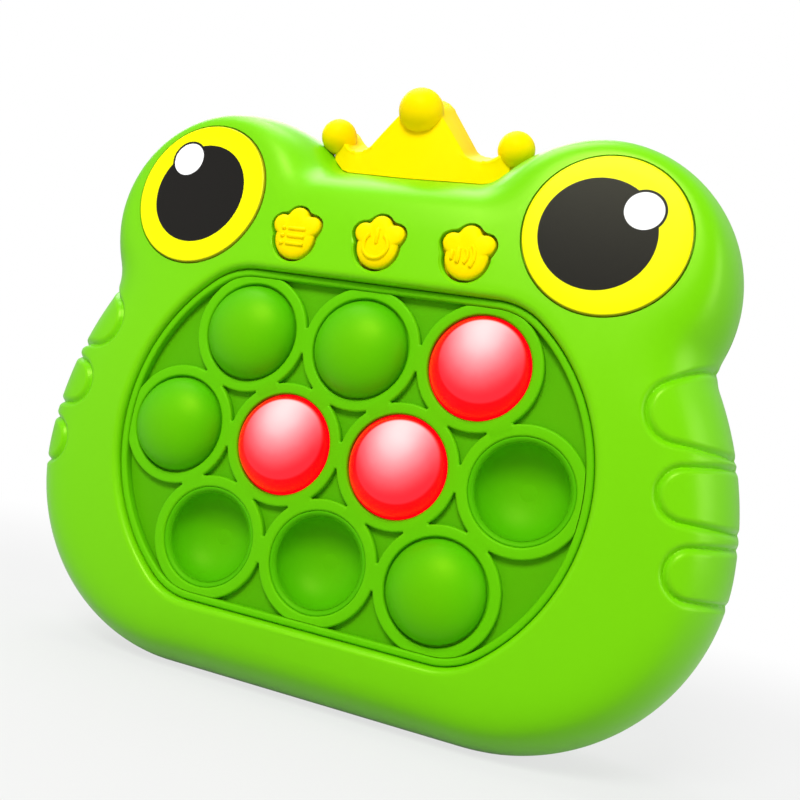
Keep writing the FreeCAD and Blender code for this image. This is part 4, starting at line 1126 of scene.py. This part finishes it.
def flared_hole(x, z, radius, start, flare, segments):
    """A round hole from the back whose mouth is rounded over."""
    profile = [(0, start), (radius, start), (radius, BACK - flare)]
    for a in quarter_turn(4, 1):
        profile.append((radius + flare * (1 - math.cos(a)), BACK - flare + flare * math.sin(a)))
    profile += [(radius + flare + 0.3, BACK + 1.0), (0, BACK + 1.0)]
    bm = spun(profile, segments)
    place = Matrix.Translation((x, RING_Y, z)) @ Matrix.Rotation(-math.pi / 2, 4, "X")
    bmesh.ops.transform(bm, matrix=place, verts=bm.verts)
    return solid("hole", outward(bm))


# User settings


def length_property(name, description, default, most):
    return FloatProperty(name=name, description=description, default=default, min=0.0, max=most,
                         unit="LENGTH", subtype="DISTANCE")


def colour_property(name, description, default):
    return FloatVectorProperty(name=name, description=description, default=default, size=3,
                               min=0.0, max=1.0, subtype="COLOR")


class PushGameSizes(bpy.types.PropertyGroup):
    """Sizes of the looks that don't change the frame."""

    case_rays: IntProperty(name="Case Rays", description="Points round the case", default=512, min=128,
                           max=720)
    soft_edge: length_property("Soft Edge", "Rounding of the rings on the silicone panel", 0.00045, 0.001)
    bubble_wall: length_property("Bubble Wall", "Thickness of a bubble", 0.0011, 0.0015)
    pupil: length_property("Pupil", "Radius of the eye's pupil", 0.0105, 0.012)
    grain: length_property("Grain", "Depth of the mould's grain", 0.000012, 0.0002)


class PushGameColours(bpy.types.PropertyGroup):
    """Colours of the looks, as linear values."""

    case: colour_property("Case", "Glossy case plastic", (0.165, 0.6, 0.001))
    panel: colour_property("Panel", "Silicone panel", (0.115, 0.51, 0.001))
    bubble: colour_property("Bubble", "Silicone bubbles", (0.075, 0.45, 0.001))
    crown: colour_property("Crown", "Crown and paw buttons", (0.96, 0.71, 0.0))
    iris: colour_property("Iris", "Yellow ring of the eyes", (0.9, 0.88, 0.001))
    print: colour_property("Print", "Dark print of the eyes", (0.012, 0.011, 0.011))
    lit: colour_property("Lit", "Lit bubbles", (1.0, 0.0, 0.004))
    board: colour_property("Board", "Circuit boards", (0.01, 0.16, 0.05))
    metal: colour_property("Metal", "Screws, springs and contacts", (0.56, 0.57, 0.58))


def sizes():
    return bpy.context.scene.push_game_sizes


def colours():
    return bpy.context.scene.push_game_colours


def made_once(make):
    """A material that several pieces share, made by a function of this file and named after it."""
    name = "shared_" + make.__name__
    return bpy.data.materials.get(name) or make(name).material


# Finishes


def case_plastic(name):
    return moulded(name, tuple(colours().case), 260.0, 0.34, sizes().grain * 0.6, wear=0.03, specular=0.42,
                   tint=(0.8, 1.0, 0.2))


def panel_silicone(name):
    """Silicone that is duller on the sunken floor than on the rings, where painted shade also darkens it."""
    finish = Finish(name, roughness=0.5, specular=0.3, tint=(0.5, 1.0, 0.1))
    panel = tuple(colours().panel)
    tone = (finish.noise(24.0, 3.0) - 0.5) * 0.9 + 0.5
    raised = finish.clouded(tone, panel, 0.05)
    sunken = finish.part(1).above((RING_Y + 0.5) * MM, (RING_Y + RING_H) * MM)
    # Painted shade: the sunken floor is blended about a quarter of the way towards dark green, darker than
    # the rings.
    finish.feed("Base Color", finish.blend(sunken * 0.26, raised, paint((0.0, 0.05, 0.0))))
    finish.feed("Roughness", sunken * 0.12 + (finish.noise(900.0) - 0.5) * 0.1 + 0.48)
    finish.bump(finish.noise(1500.0, 3.0, 0.6), sizes().grain * 1.4)
    return finish


def yellow_plastic(name):
    return moulded(name, tuple(colours().crown), 420.0, 0.45, sizes().grain, wear=0.03, specular=0.08,
                   tint=(1.0, 0.9, 0.1))


def white_plastic(name):
    return moulded(name, (0.78, 0.78, 0.76), 500.0, 0.45, sizes().grain, wear=0.04)


def screw_steel(name):
    finish = Finish(name, roughness=0.32, metallic=1.0)
    steel = tuple(colours().metal)
    stain = finish.noise(180.0, 4.0, 0.6)
    finish.feed("Base Color", finish.blend(stain, paint(shaded(steel, 0.8)), paint(shaded(steel, 1.15))))
    finish.feed("Roughness", (finish.noise(600.0, 3.0) - 0.5) * 0.3 + 0.34)
    finish.bump(finish.noise(1400.0, 2.0), 0.00001)
    return finish


def contact_metal(name):
    finish = Finish(name, roughness=0.25, metallic=1.0)
    shine = finish.noise(140.0, 3.0)
    finish.feed("Base Color", finish.blend(shine, paint((0.66, 0.63, 0.56)), paint((0.86, 0.84, 0.78))))
    finish.feed("Roughness", (finish.noise(900.0, 2.0) - 0.5) * 0.25 + 0.27)
    finish.bump(finish.noise(900.0, 3.0), 0.00001)
    return finish


def circuit_board(name):
    """Green board with paler copper tracks under its varnish."""
    finish = Finish(name, roughness=0.35, coat=0.2)
    board = tuple(colours().board)
    tracks = finish.node("ShaderNodeTexVoronoi", {"feature": "DISTANCE_TO_EDGE", "distance": "CHEBYCHEV"},
                         {"Vector": finish.place, "Scale": 420.0}).value("Distance")
    copper = tracks.below(0.06, 0.1) * finish.noise(120.0).above(0.48, 0.52)
    finish.feed("Base Color", finish.blend(copper, paint(board), paint(shaded(board, 2.4))))
    finish.feed("Roughness", (finish.noise(300.0) - 0.5) * 0.2 + 0.36)
    finish.bump(copper, 0.00003)
    return finish


def chip_black(name):
    return moulded(name, (0.02, 0.02, 0.022), 1800.0, 0.5, 0.00001, wear=0.2)


def led_package(name):
    """White LED bodies with a pale yellow window."""
    finish = Finish(name, roughness=0.3)
    warm = finish.noise(800.0)
    finish.feed("Base Color", finish.blend(warm, paint((0.85, 0.82, 0.55)), paint((0.9, 0.9, 0.86))))
    finish.feed("Roughness", (warm - 0.5) * 0.2 + 0.3)
    finish.bump(finish.noise(1500.0), 0.00001)
    return finish


def battery_skin(name, way):
    """Printed foil round a battery: a dark body and a copper-coloured band towards its nub."""
    finish = Finish(name, roughness=0.28, coat=0.4)
    across = finish.part(0) * way
    band = across.above(0.0125, 0.0128)
    edge = (across.above(-0.0212, -0.021) * across.below(0.0208, 0.0211) - 1.0) * -1.0
    body = finish.blend(band, paint((0.015, 0.016, 0.02)), paint((0.55, 0.24, 0.08)))
    finish.feed("Base Color", finish.blend(edge, body, paint((0.6, 0.6, 0.6))))
    finish.feed("Metallic", edge * 0.9 + band * (1.0 - edge) * 0.6)
    finish.feed("Roughness", (finish.noise(300.0) - 0.5) * 0.15 + 0.3)
    finish.bump(finish.noise(500.0), 0.00002)
    return finish


def lead_skin(name, axis, middle):
    """A pair of leads, red past a middle along an axis and black before it."""
    finish = Finish(name, roughness=0.45)
    red = finish.part(axis).above(middle - 0.0005, middle + 0.0005)
    dull = finish.noise(700.0)
    colour = finish.blend(red, paint((0.02, 0.02, 0.022)), paint((0.5, 0.015, 0.01)))
    finish.feed("Base Color", finish.blend(dull * 0.3, colour, paint((0.12, 0.1, 0.1))))
    finish.feed("Roughness", (dull - 0.5) * 0.2 + 0.45)
    finish.bump(dull, 0.00002)
    return finish


def speaker_finish(name):
    """Steel basket with a dark paper cone inside it."""
    finish = Finish(name, roughness=0.4, metallic=0.0)
    place = finish.moved((0.0, 0.0, SPEAKER_Z * MM))
    inside = finish.off_axis(place).below(0.0108, 0.0110)
    cone = inside * finish.part(1).above((RING_Y + 28.6) * MM, (RING_Y + 28.9) * MM)
    ribs = finish.node("ShaderNodeTexWave", {"wave_type": "RINGS", "rings_direction": "Y"},
                       {"Vector": place, "Scale": 260.0}).value("Fac")
    fibre = finish.noise(1200.0, 3.0)
    paper = finish.blend(fibre, paint((0.02, 0.02, 0.022)), paint((0.06, 0.06, 0.062)))
    steel = finish.blend(fibre, paint((0.45, 0.46, 0.48)), paint((0.6, 0.6, 0.62)))
    finish.feed("Base Color", finish.blend(cone, steel, paper))
    finish.feed("Metallic", 1.0 - cone)
    finish.feed("Roughness", cone * 0.4 + (fibre - 0.5) * 0.15 + 0.35)
    finish.bump(ribs * cone * 0.5 + fibre * 0.3, 0.00008)
    return finish


def eye_print(name, side):
    """An eye disc: yellow with a dark line round its edge, and a printed dark pupil and white highlight."""
    finish = Finish(name, roughness=0.3, specular=0.07, tint=(1.0, 1.0, 0.7))
    x = side * EYE_X
    centre = at(x, face_depth(x, EYE_Z), EYE_Z) * MM
    place = finish.moved(tuple(centre), centre_turn(face_normal(x, EYE_Z)))
    across, up = finish.part(0, place), finish.part(1, place)
    edge = 0.00007

    def spot(cx, cy, radius):
        dx, dy = across - cx, up - cy
        away = (dx * dx + dy * dy) ** 0.5
        return away.below(radius - edge, radius + edge)

    pupil_x, pupil_z = (value * MM for value in PUPILS[side])
    glint_x, glint_z = (value * MM for value in GLINTS[side])
    pupil = spot(pupil_x, pupil_z, sizes().pupil)
    glint = spot(glint_x, glint_z, GLINT_R * MM)
    rim = spot(glint_x, glint_z, (GLINT_R + 0.5) * MM)
    # A dark line round the disc's edge, next to the gap to its seat.
    line = 1.0 - spot(0.0, 0.0, (EYE_R - 0.2) * MM)
    ink = finish.noise(900.0, 3.0)
    base = finish.clouded(finish.noise(60.0), tuple(colours().iris), 0.03)
    for share in (line * 0.6, pupil, rim):
        base = finish.blend(share, base, paint(colours().print))
    finish.feed("Base Color", finish.blend(glint, base, paint((0.97, 0.97, 0.97))))
    finish.feed("Roughness", (ink - 0.5) * 0.08 + 0.3)
    finish.bump(ink * 0.15 + pupil * 0.4 - glint * 0.3, 0.00002)
    return finish


def at_well(finish, centre):
    """The object's coordinates from the middle of a bubble's well."""
    return finish.moved((centre[0] * MM, RING_Y * MM, (PANEL_Z + centre[1]) * MM))


def bubble_rubber(name, centre, pushed):
    """Green silicone of a bubble, less glossy where it is pushed in, painted paler and yellower towards its
    middle as painted light.
    """
    # A pushed-in bubble is less glossy, and its colour is painted five per cent darker as painted shade
    # inside its bowl.
    specular, tint, tone = (0.22, (0.8, 1.0, 0.1), 0.95) if pushed else (0.45, (0.8, 1.0, 0.03), 1.0)
    finish = Finish(name, roughness=0.48, specular=specular, tint=tint)
    base = shaded(colours().bubble, tone)
    # Painted light: the middle of the bubble is painted paler and yellower, as the lit top of a dome looks.
    painted_light_middle = finish.off_axis(at_well(finish, centre)).below(0.001, 0.0098)
    clouds = finish.noise(60.0, 3.0)
    body = finish.clouded((clouds - 0.5) * 0.5 + 0.5, base, 0.05)
    # The pale, yellower colour of the painted light in the middle.
    pale = (base[0] * 1.4, base[1] * 1.05, base[2])
    finish.feed("Base Color", finish.blend(painted_light_middle * 0.8, body, paint(pale)))
    specks = finish.noise(1300.0, 2.0)
    finish.feed("Roughness", (clouds - 0.5) * 0.1 + (specks - 0.5) * 0.08 + 0.48)
    finish.bump(specks, sizes().grain)
    return finish


def lit_rubber(name, centre):
    """Red silicone that glows by emission, standing in for the LED's light behind it: a deep red rim and a
    painted highlight, a white spot at the top that fades to pink and red below it.
    """
    finish = Finish(name, roughness=0.4, specular=0.2, tint=(1.0, 0.3, 0.3))
    place = at_well(finish, centre)
    across, up = finish.part(0, place), finish.part(2, place)
    aside, raised = across - 0.0009, up - 0.0009
    # Inside this ellipse the painted glow and highlight are drawn; outside it is the deep red rim.
    inside = ((aside * aside + raised * raised) ** 0.5).below(0.0074, 0.0079)
    left, low = across - 0.0005, up - 0.0066
    spot = (left * left * 1.8 + low * low) ** 0.5
    grain = finish.noise(400.0, 3.0)
    painted_glow_falloff = spot + (grain - 0.5) * 0.0006
    # Painted glow and painted highlight: red rising to pink and a near-white spot at the top of the dome.
    shade = finish.blend(painted_glow_falloff.above(0.0075, 0.0125), paint((1.0, 0.2, 0.24)), paint((1.0, 0.028, 0.045)))
    shade = finish.blend(painted_glow_falloff.below(0.0035, 0.0095), shade, paint((1.0, 0.6, 0.63)))
    shade = finish.blend(painted_glow_falloff.below(0.0005, 0.0062), shade, paint((1.0, 0.9, 0.9)))
    # The glow is emission, painted light standing in for the LED behind the bubble.
    finish.feed("Emission Color", finish.blend(inside, paint(colours().lit), shade))
    finish.shader.inputs["Emission Strength"].default_value = 0.9
    finish.feed("Base Color", finish.blend(grain * 0.3, paint((0.2, 0.0, 0.002)), paint((0.3, 0.01, 0.01))))
    finish.feed("Roughness", (grain - 0.5) * 0.1 + 0.4)
    finish.bump(finish.noise(1300.0, 2.0), sizes().grain)
    return finish


# Operators


class PUSHGAME_OT_case(bpy.types.Operator):
    """Builds the two halves of the frog-headed case."""

    bl_idname = "push_game.case"
    bl_label = "Case"

    def execute(self, context):
        count = sizes().case_rays
        plastic = made_once(case_plastic)
        front = solid("case_front", case_front_skin(count))
        cuts = [eye_cutter(side) for side in (1, -1)] + [one_solid("tenon_slot", tenon_slot)]
        for slot in (-1, 0, 1):
            x = slot * BUTTON_PITCH
            cuts.append(paw_cutter(x, face_depth(x, BUTTON_Z)))
        combine(front, cuts, "DIFFERENCE")
        finished(front, plastic, "case", "green_shell", ["front_shell"])
        rear = solid("case_rear", case_rear_skin(count))
        combine(rear, rear_fittings(), "UNION")
        combine(rear, rear_holes(), "DIFFERENCE")
        finished(rear, plastic, "case", "green_shell", ["rear_shell"])
        return {"FINISHED"}


class PUSHGAME_OT_crown(bpy.types.Operator):
    """Builds the crown with its three balls."""

    bl_idname = "push_game.crown"
    bl_label = "Crown"

    def execute(self, context):
        finished(crown(), made_once(yellow_plastic), "case", "yellow_plastic", ["crown"])
        return {"FINISHED"}


class PUSHGAME_OT_eyes(bpy.types.Operator):
    """Builds the two printed eye discs."""

    bl_idname = "push_game.eyes"
    bl_label = "Eyes"

    def execute(self, context):
        for side, word in ((-1, "left"), (1, "right")):
            printed = eye_print("eye_print_" + word, side).material
            finished(eye_disc("eye_" + word, side), printed, "case", "eye_print", ["eye_disc_" + word])
        return {"FINISHED"}


class PUSHGAME_OT_panel(bpy.types.Operator):
    """Builds the silicone panel that the bubbles sit in."""

    bl_idname = "push_game.panel"
    bl_label = "Bubble Panel"

    def execute(self, context):
        silicone = made_once(panel_silicone)
        finished(bubble_panel(), silicone, "case", "green_silicone", ["bubble_panel"], crease=50)
        return {"FINISHED"}


class PUSHGAME_OT_bubbles(bpy.types.Operator):
    """Builds the ten bubbles and their stems."""

    bl_idname = "push_game.bubbles"
    bl_label = "Bubbles"

    def execute(self, context):
        for number, centre in enumerate(CENTRES, 1):
            node = "bubble_%02d" % number
            pushed = number in PUSHED_IN
            sheet = bubble_sheet("dome_%02d" % number, *centre, pushed)
            if number in LIT:
                slot, rubber = "red_lit_silicone", lit_rubber("lit_" + node, centre).material
            else:
                slot, rubber = "green_silicone", bubble_rubber("rubber_" + node, centre, pushed).material
            finished(sheet, rubber, None, slot, [node], crease=60)
            wall = sheet.modifiers.new("wall", "SOLIDIFY")
            wall.thickness = sizes().bubble_wall
            wall.offset = -1.0
            wall.use_even_offset = True
            rim = at(centre[0], RIM_DEPTH, PANEL_Z + centre[1]) * MM
            top = at(centre[0], RIM_DEPTH + (DOME_RISE if pushed else -DOME_RISE), PANEL_Z + centre[1]) * MM
            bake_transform(sheet, "case", node, start=tuple(rim), end=tuple(top))
            finished(stem("stem_%02d" % number, *centre, pushed), rubber, node, slot)
        return {"FINISHED"}


class PUSHGAME_OT_buttons(bpy.types.Operator):
    """Builds the three paw-shaped buttons with their signs."""

    bl_idname = "push_game.buttons"
    bl_label = "Paw Buttons"

    def execute(self, context):
        plastic = made_once(yellow_plastic)
        for slot, node in ((-1, "menu_button"), (0, "power_button"), (1, "volume_button")):
            x = slot * BUTTON_PITCH
            front = face_depth(x, BUTTON_Z) - 0.6
            cap = paw_button(node.replace("button", "paw"), x, front)
            finished(cap, plastic, node, "yellow_plastic", [node], crease=40)
            sign = button_sign(node.replace("button", "sign"), slot, x, front)
            finished(sign, plastic, node, "yellow_plastic", crease=60)
            post = one_solid(node.replace("button", "post"), rod, x, PAW_Z, 2.0, front + 2.0,
                             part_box(node)[1].y / MM - RING_Y, 32)
            rounded_edges(post, 0.3, 30)
            finished(post, plastic, node, "yellow_plastic")
        return {"FINISHED"}


class PUSHGAME_OT_door(bpy.types.Operator):
    """Softens the edges of the battery door and finishes it like the case."""

    bl_idname = "push_game.door"
    bl_label = "Battery Door"

    def execute(self, context):
        door = refined("box_door", "battery_door")
        rounded_edges(door, 0.25, 40)
        plastic = made_once(case_plastic)
        finished(door, plastic, "battery_door", "green_shell", ["battery_door"])
        return {"FINISHED"}


def finish_node(node, material):
    """Gives a CAD node a material."""
    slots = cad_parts[node].data.materials
    slots.clear()
    slots.append(material)


class PUSHGAME_OT_inside(bpy.types.Operator):
    """Finishes the screws, boards, batteries, leads and speaker that come from the frame."""

    bl_idname = "push_game.inside"
    bl_label = "Inside"

    def execute(self, context):
        shared = {
            screw_steel: ("case_screws", "frame_screws", "board_screws", "button_board_screws",
                          "door_screw"),
            contact_metal: ("contact_plates", "battery_springs", "snap_domes"),
            white_plastic: ("bubble_frame", "button_ribbon"),
            circuit_board: ("main_board", "button_board"),
            chip_black: ("control_chip", "capacitors", "button_switches"),
            led_package: ("leds",),
            speaker_finish: ("speaker",),
        }
        for make, nodes in shared.items():
            for node in nodes:
                finish_node(node, made_once(make))
        for number, way in ((1, 1), (2, -1), (3, 1)):
            finish_node("battery_%d" % number, battery_skin("battery_skin_%d" % number, way).material)
        finish_node("battery_leads", lead_skin("battery_lead_skin", 2, BOX_Z * MM).material)
        finish_node("speaker_leads", lead_skin("speaker_lead_skin", 0, 0.0).material)
        return {"FINISHED"}


def floor_white(name):
    """A pale floor with the object's shadow on it, which the camera sees as plain white further away."""
    finish = Finish(name, roughness=0.9, specular=0.0)
    grain = finish.noise(20.0)
    finish.feed("Base Color", finish.blend(grain, paint((0.48, 0.48, 0.48)), paint((0.52, 0.52, 0.52))))
    rays = finish.node("ShaderNodeLightPath")
    seen = rays.value("Is Camera Ray").math("MAXIMUM", rays.value("Is Glossy Ray") * 0.35)
    away = finish.length(finish.place).above(0.1, 0.32)
    glow = finish.node("ShaderNodeEmission", None, {"Color": (1.0, 1.0, 1.0, 1.0), "Strength": 1.0})
    mix = finish.node("ShaderNodeMixShader", None, {0: seen * (away * 0.28 + 0.72)})
    finish.tree.links.new(finish.shader.outputs[0], mix.node.inputs[1])
    finish.tree.links.new(glow.node.outputs[0], mix.node.inputs[2])
    finish.tree.links.new(mix.node.outputs[0], finish.tree.nodes["Material Output"].inputs["Surface"])
    return finish.material


def stage_floor(scene):
    """A plain pale floor that fades to white further away."""
    bm = bmesh.new()
    bmesh.ops.create_grid(bm, x_segments=8, y_segments=8, size=4.0)
    mesh = bpy.data.meshes.new("floor")
    bm.to_mesh(mesh)
    bm.free()
    mesh.materials.append(floor_white("floor_white"))
    floor = bpy.data.objects.new("floor", mesh)
    scene.collection.objects.link(floor)


def studio(scene):
    """A soft grey light from all round, which the camera sees as white."""
    world = bpy.data.worlds.new("studio")
    scene.world = world
    world.use_nodes = True
    tree = world.node_tree
    plain, white = tree.nodes["Background"], tree.nodes.new("ShaderNodeBackground")
    for background, strength in ((plain, 0.28), (white, 1.0)):
        background.inputs["Color"].default_value = (1.0, 1.0, 1.0, 1.0)
        background.inputs["Strength"].default_value = strength
    rays = tree.nodes.new("ShaderNodeLightPath")
    seen = tree.nodes.new("ShaderNodeMath")
    seen.operation = "MULTIPLY_ADD"
    seen.inputs[1].default_value = 0.35
    mix = tree.nodes.new("ShaderNodeMixShader")
    tree.links.new(rays.outputs["Is Glossy Ray"], seen.inputs[0])
    tree.links.new(rays.outputs["Is Camera Ray"], seen.inputs[2])
    tree.links.new(seen.outputs[0], mix.inputs["Fac"])
    tree.links.new(plain.outputs[0], mix.inputs[1])
    tree.links.new(white.outputs[0], mix.inputs[2])
    tree.links.new(mix.outputs[0], tree.nodes["World Output"].inputs[0])


def area_light(scene, name, place, size, power):
    """A soft light that looks at the middle of the object."""
    data = bpy.data.lights.new(name, "AREA")
    data.shape = "RECTANGLE"
    data.size, data.size_y = size
    data.energy = power
    lamp = bpy.data.objects.new(name, data)
    lamp.location = place
    lamp.rotation_euler = (Vector((0.0, 0.0, 0.05)) - Vector(place)).to_track_quat("-Z", "Y").to_euler()
    scene.collection.objects.link(lamp)


def photo_camera(scene):
    """A camera at the photograph's viewing angle."""
    data = bpy.data.cameras.new("camera")
    data.lens = CAMERA_LENS
    data.sensor_width = 36.0
    data.sensor_fit = "HORIZONTAL"
    data.clip_start = 0.01
    camera = bpy.data.objects.new("camera", data)
    turn = Matrix(CAMERA_AXES).normalized().to_4x4()
    camera.matrix_world = Matrix.Translation(CAMERA_PLACE) @ turn
    scene.collection.objects.link(camera)
    scene.camera = camera


class PUSHGAME_OT_stage(bpy.types.Operator):
    """Sets the floor, the backdrop, the soft light and the camera."""

    bl_idname = "push_game.stage"
    bl_label = "Stage"

    def execute(self, context):
        scene = context.scene
        scene.view_settings.view_transform = "Standard"
        stage_floor(scene)
        studio(scene)
        for name, (place, size, power) in LIGHTS.items():
            area_light(scene, name, place, size, power)
        photo_camera(scene)
        return {"FINISHED"}


OPERATORS = (PUSHGAME_OT_case, PUSHGAME_OT_crown, PUSHGAME_OT_eyes, PUSHGAME_OT_panel, PUSHGAME_OT_bubbles,
             PUSHGAME_OT_buttons, PUSHGAME_OT_door, PUSHGAME_OT_inside, PUSHGAME_OT_stage)


class PUSHGAME_PT_panel(bpy.types.Panel):
    """Lists the pieces of the push game."""

    bl_idname = "PUSHGAME_PT_panel"
    bl_label = "Push Game"
    bl_space_type = "VIEW_3D"
    bl_region_type = "UI"
    bl_category = "Push Game"

    def draw(self, context):
        for group in (context.scene.push_game_sizes, context.scene.push_game_colours):
            for name in group.bl_rna.properties.keys():
                if name not in ("rna_type", "name"):
                    self.layout.prop(group, name)
        for operator in OPERATORS:
            self.layout.operator(operator.bl_idname)


CLASSES = (PushGameSizes, PushGameColours) + OPERATORS + (PUSHGAME_PT_panel,)


def register():
    for each in CLASSES:
        bpy.utils.register_class(each)
    bpy.types.Scene.push_game_sizes = PointerProperty(type=PushGameSizes)
    bpy.types.Scene.push_game_colours = PointerProperty(type=PushGameColours)


def unregister():
    del bpy.types.Scene.push_game_colours
    del bpy.types.Scene.push_game_sizes
    for each in reversed(CLASSES):
        bpy.utils.unregister_class(each)


def main():
    register()
    bpy.ops.push_game.case()
    bpy.ops.push_game.crown()
    bpy.ops.push_game.eyes()
    bpy.ops.push_game.panel()
    bpy.ops.push_game.bubbles()
    bpy.ops.push_game.buttons()
    bpy.ops.push_game.door()
    bpy.ops.push_game.inside()
    bpy.ops.push_game.stage()


if __name__ == "__main__":
    main()
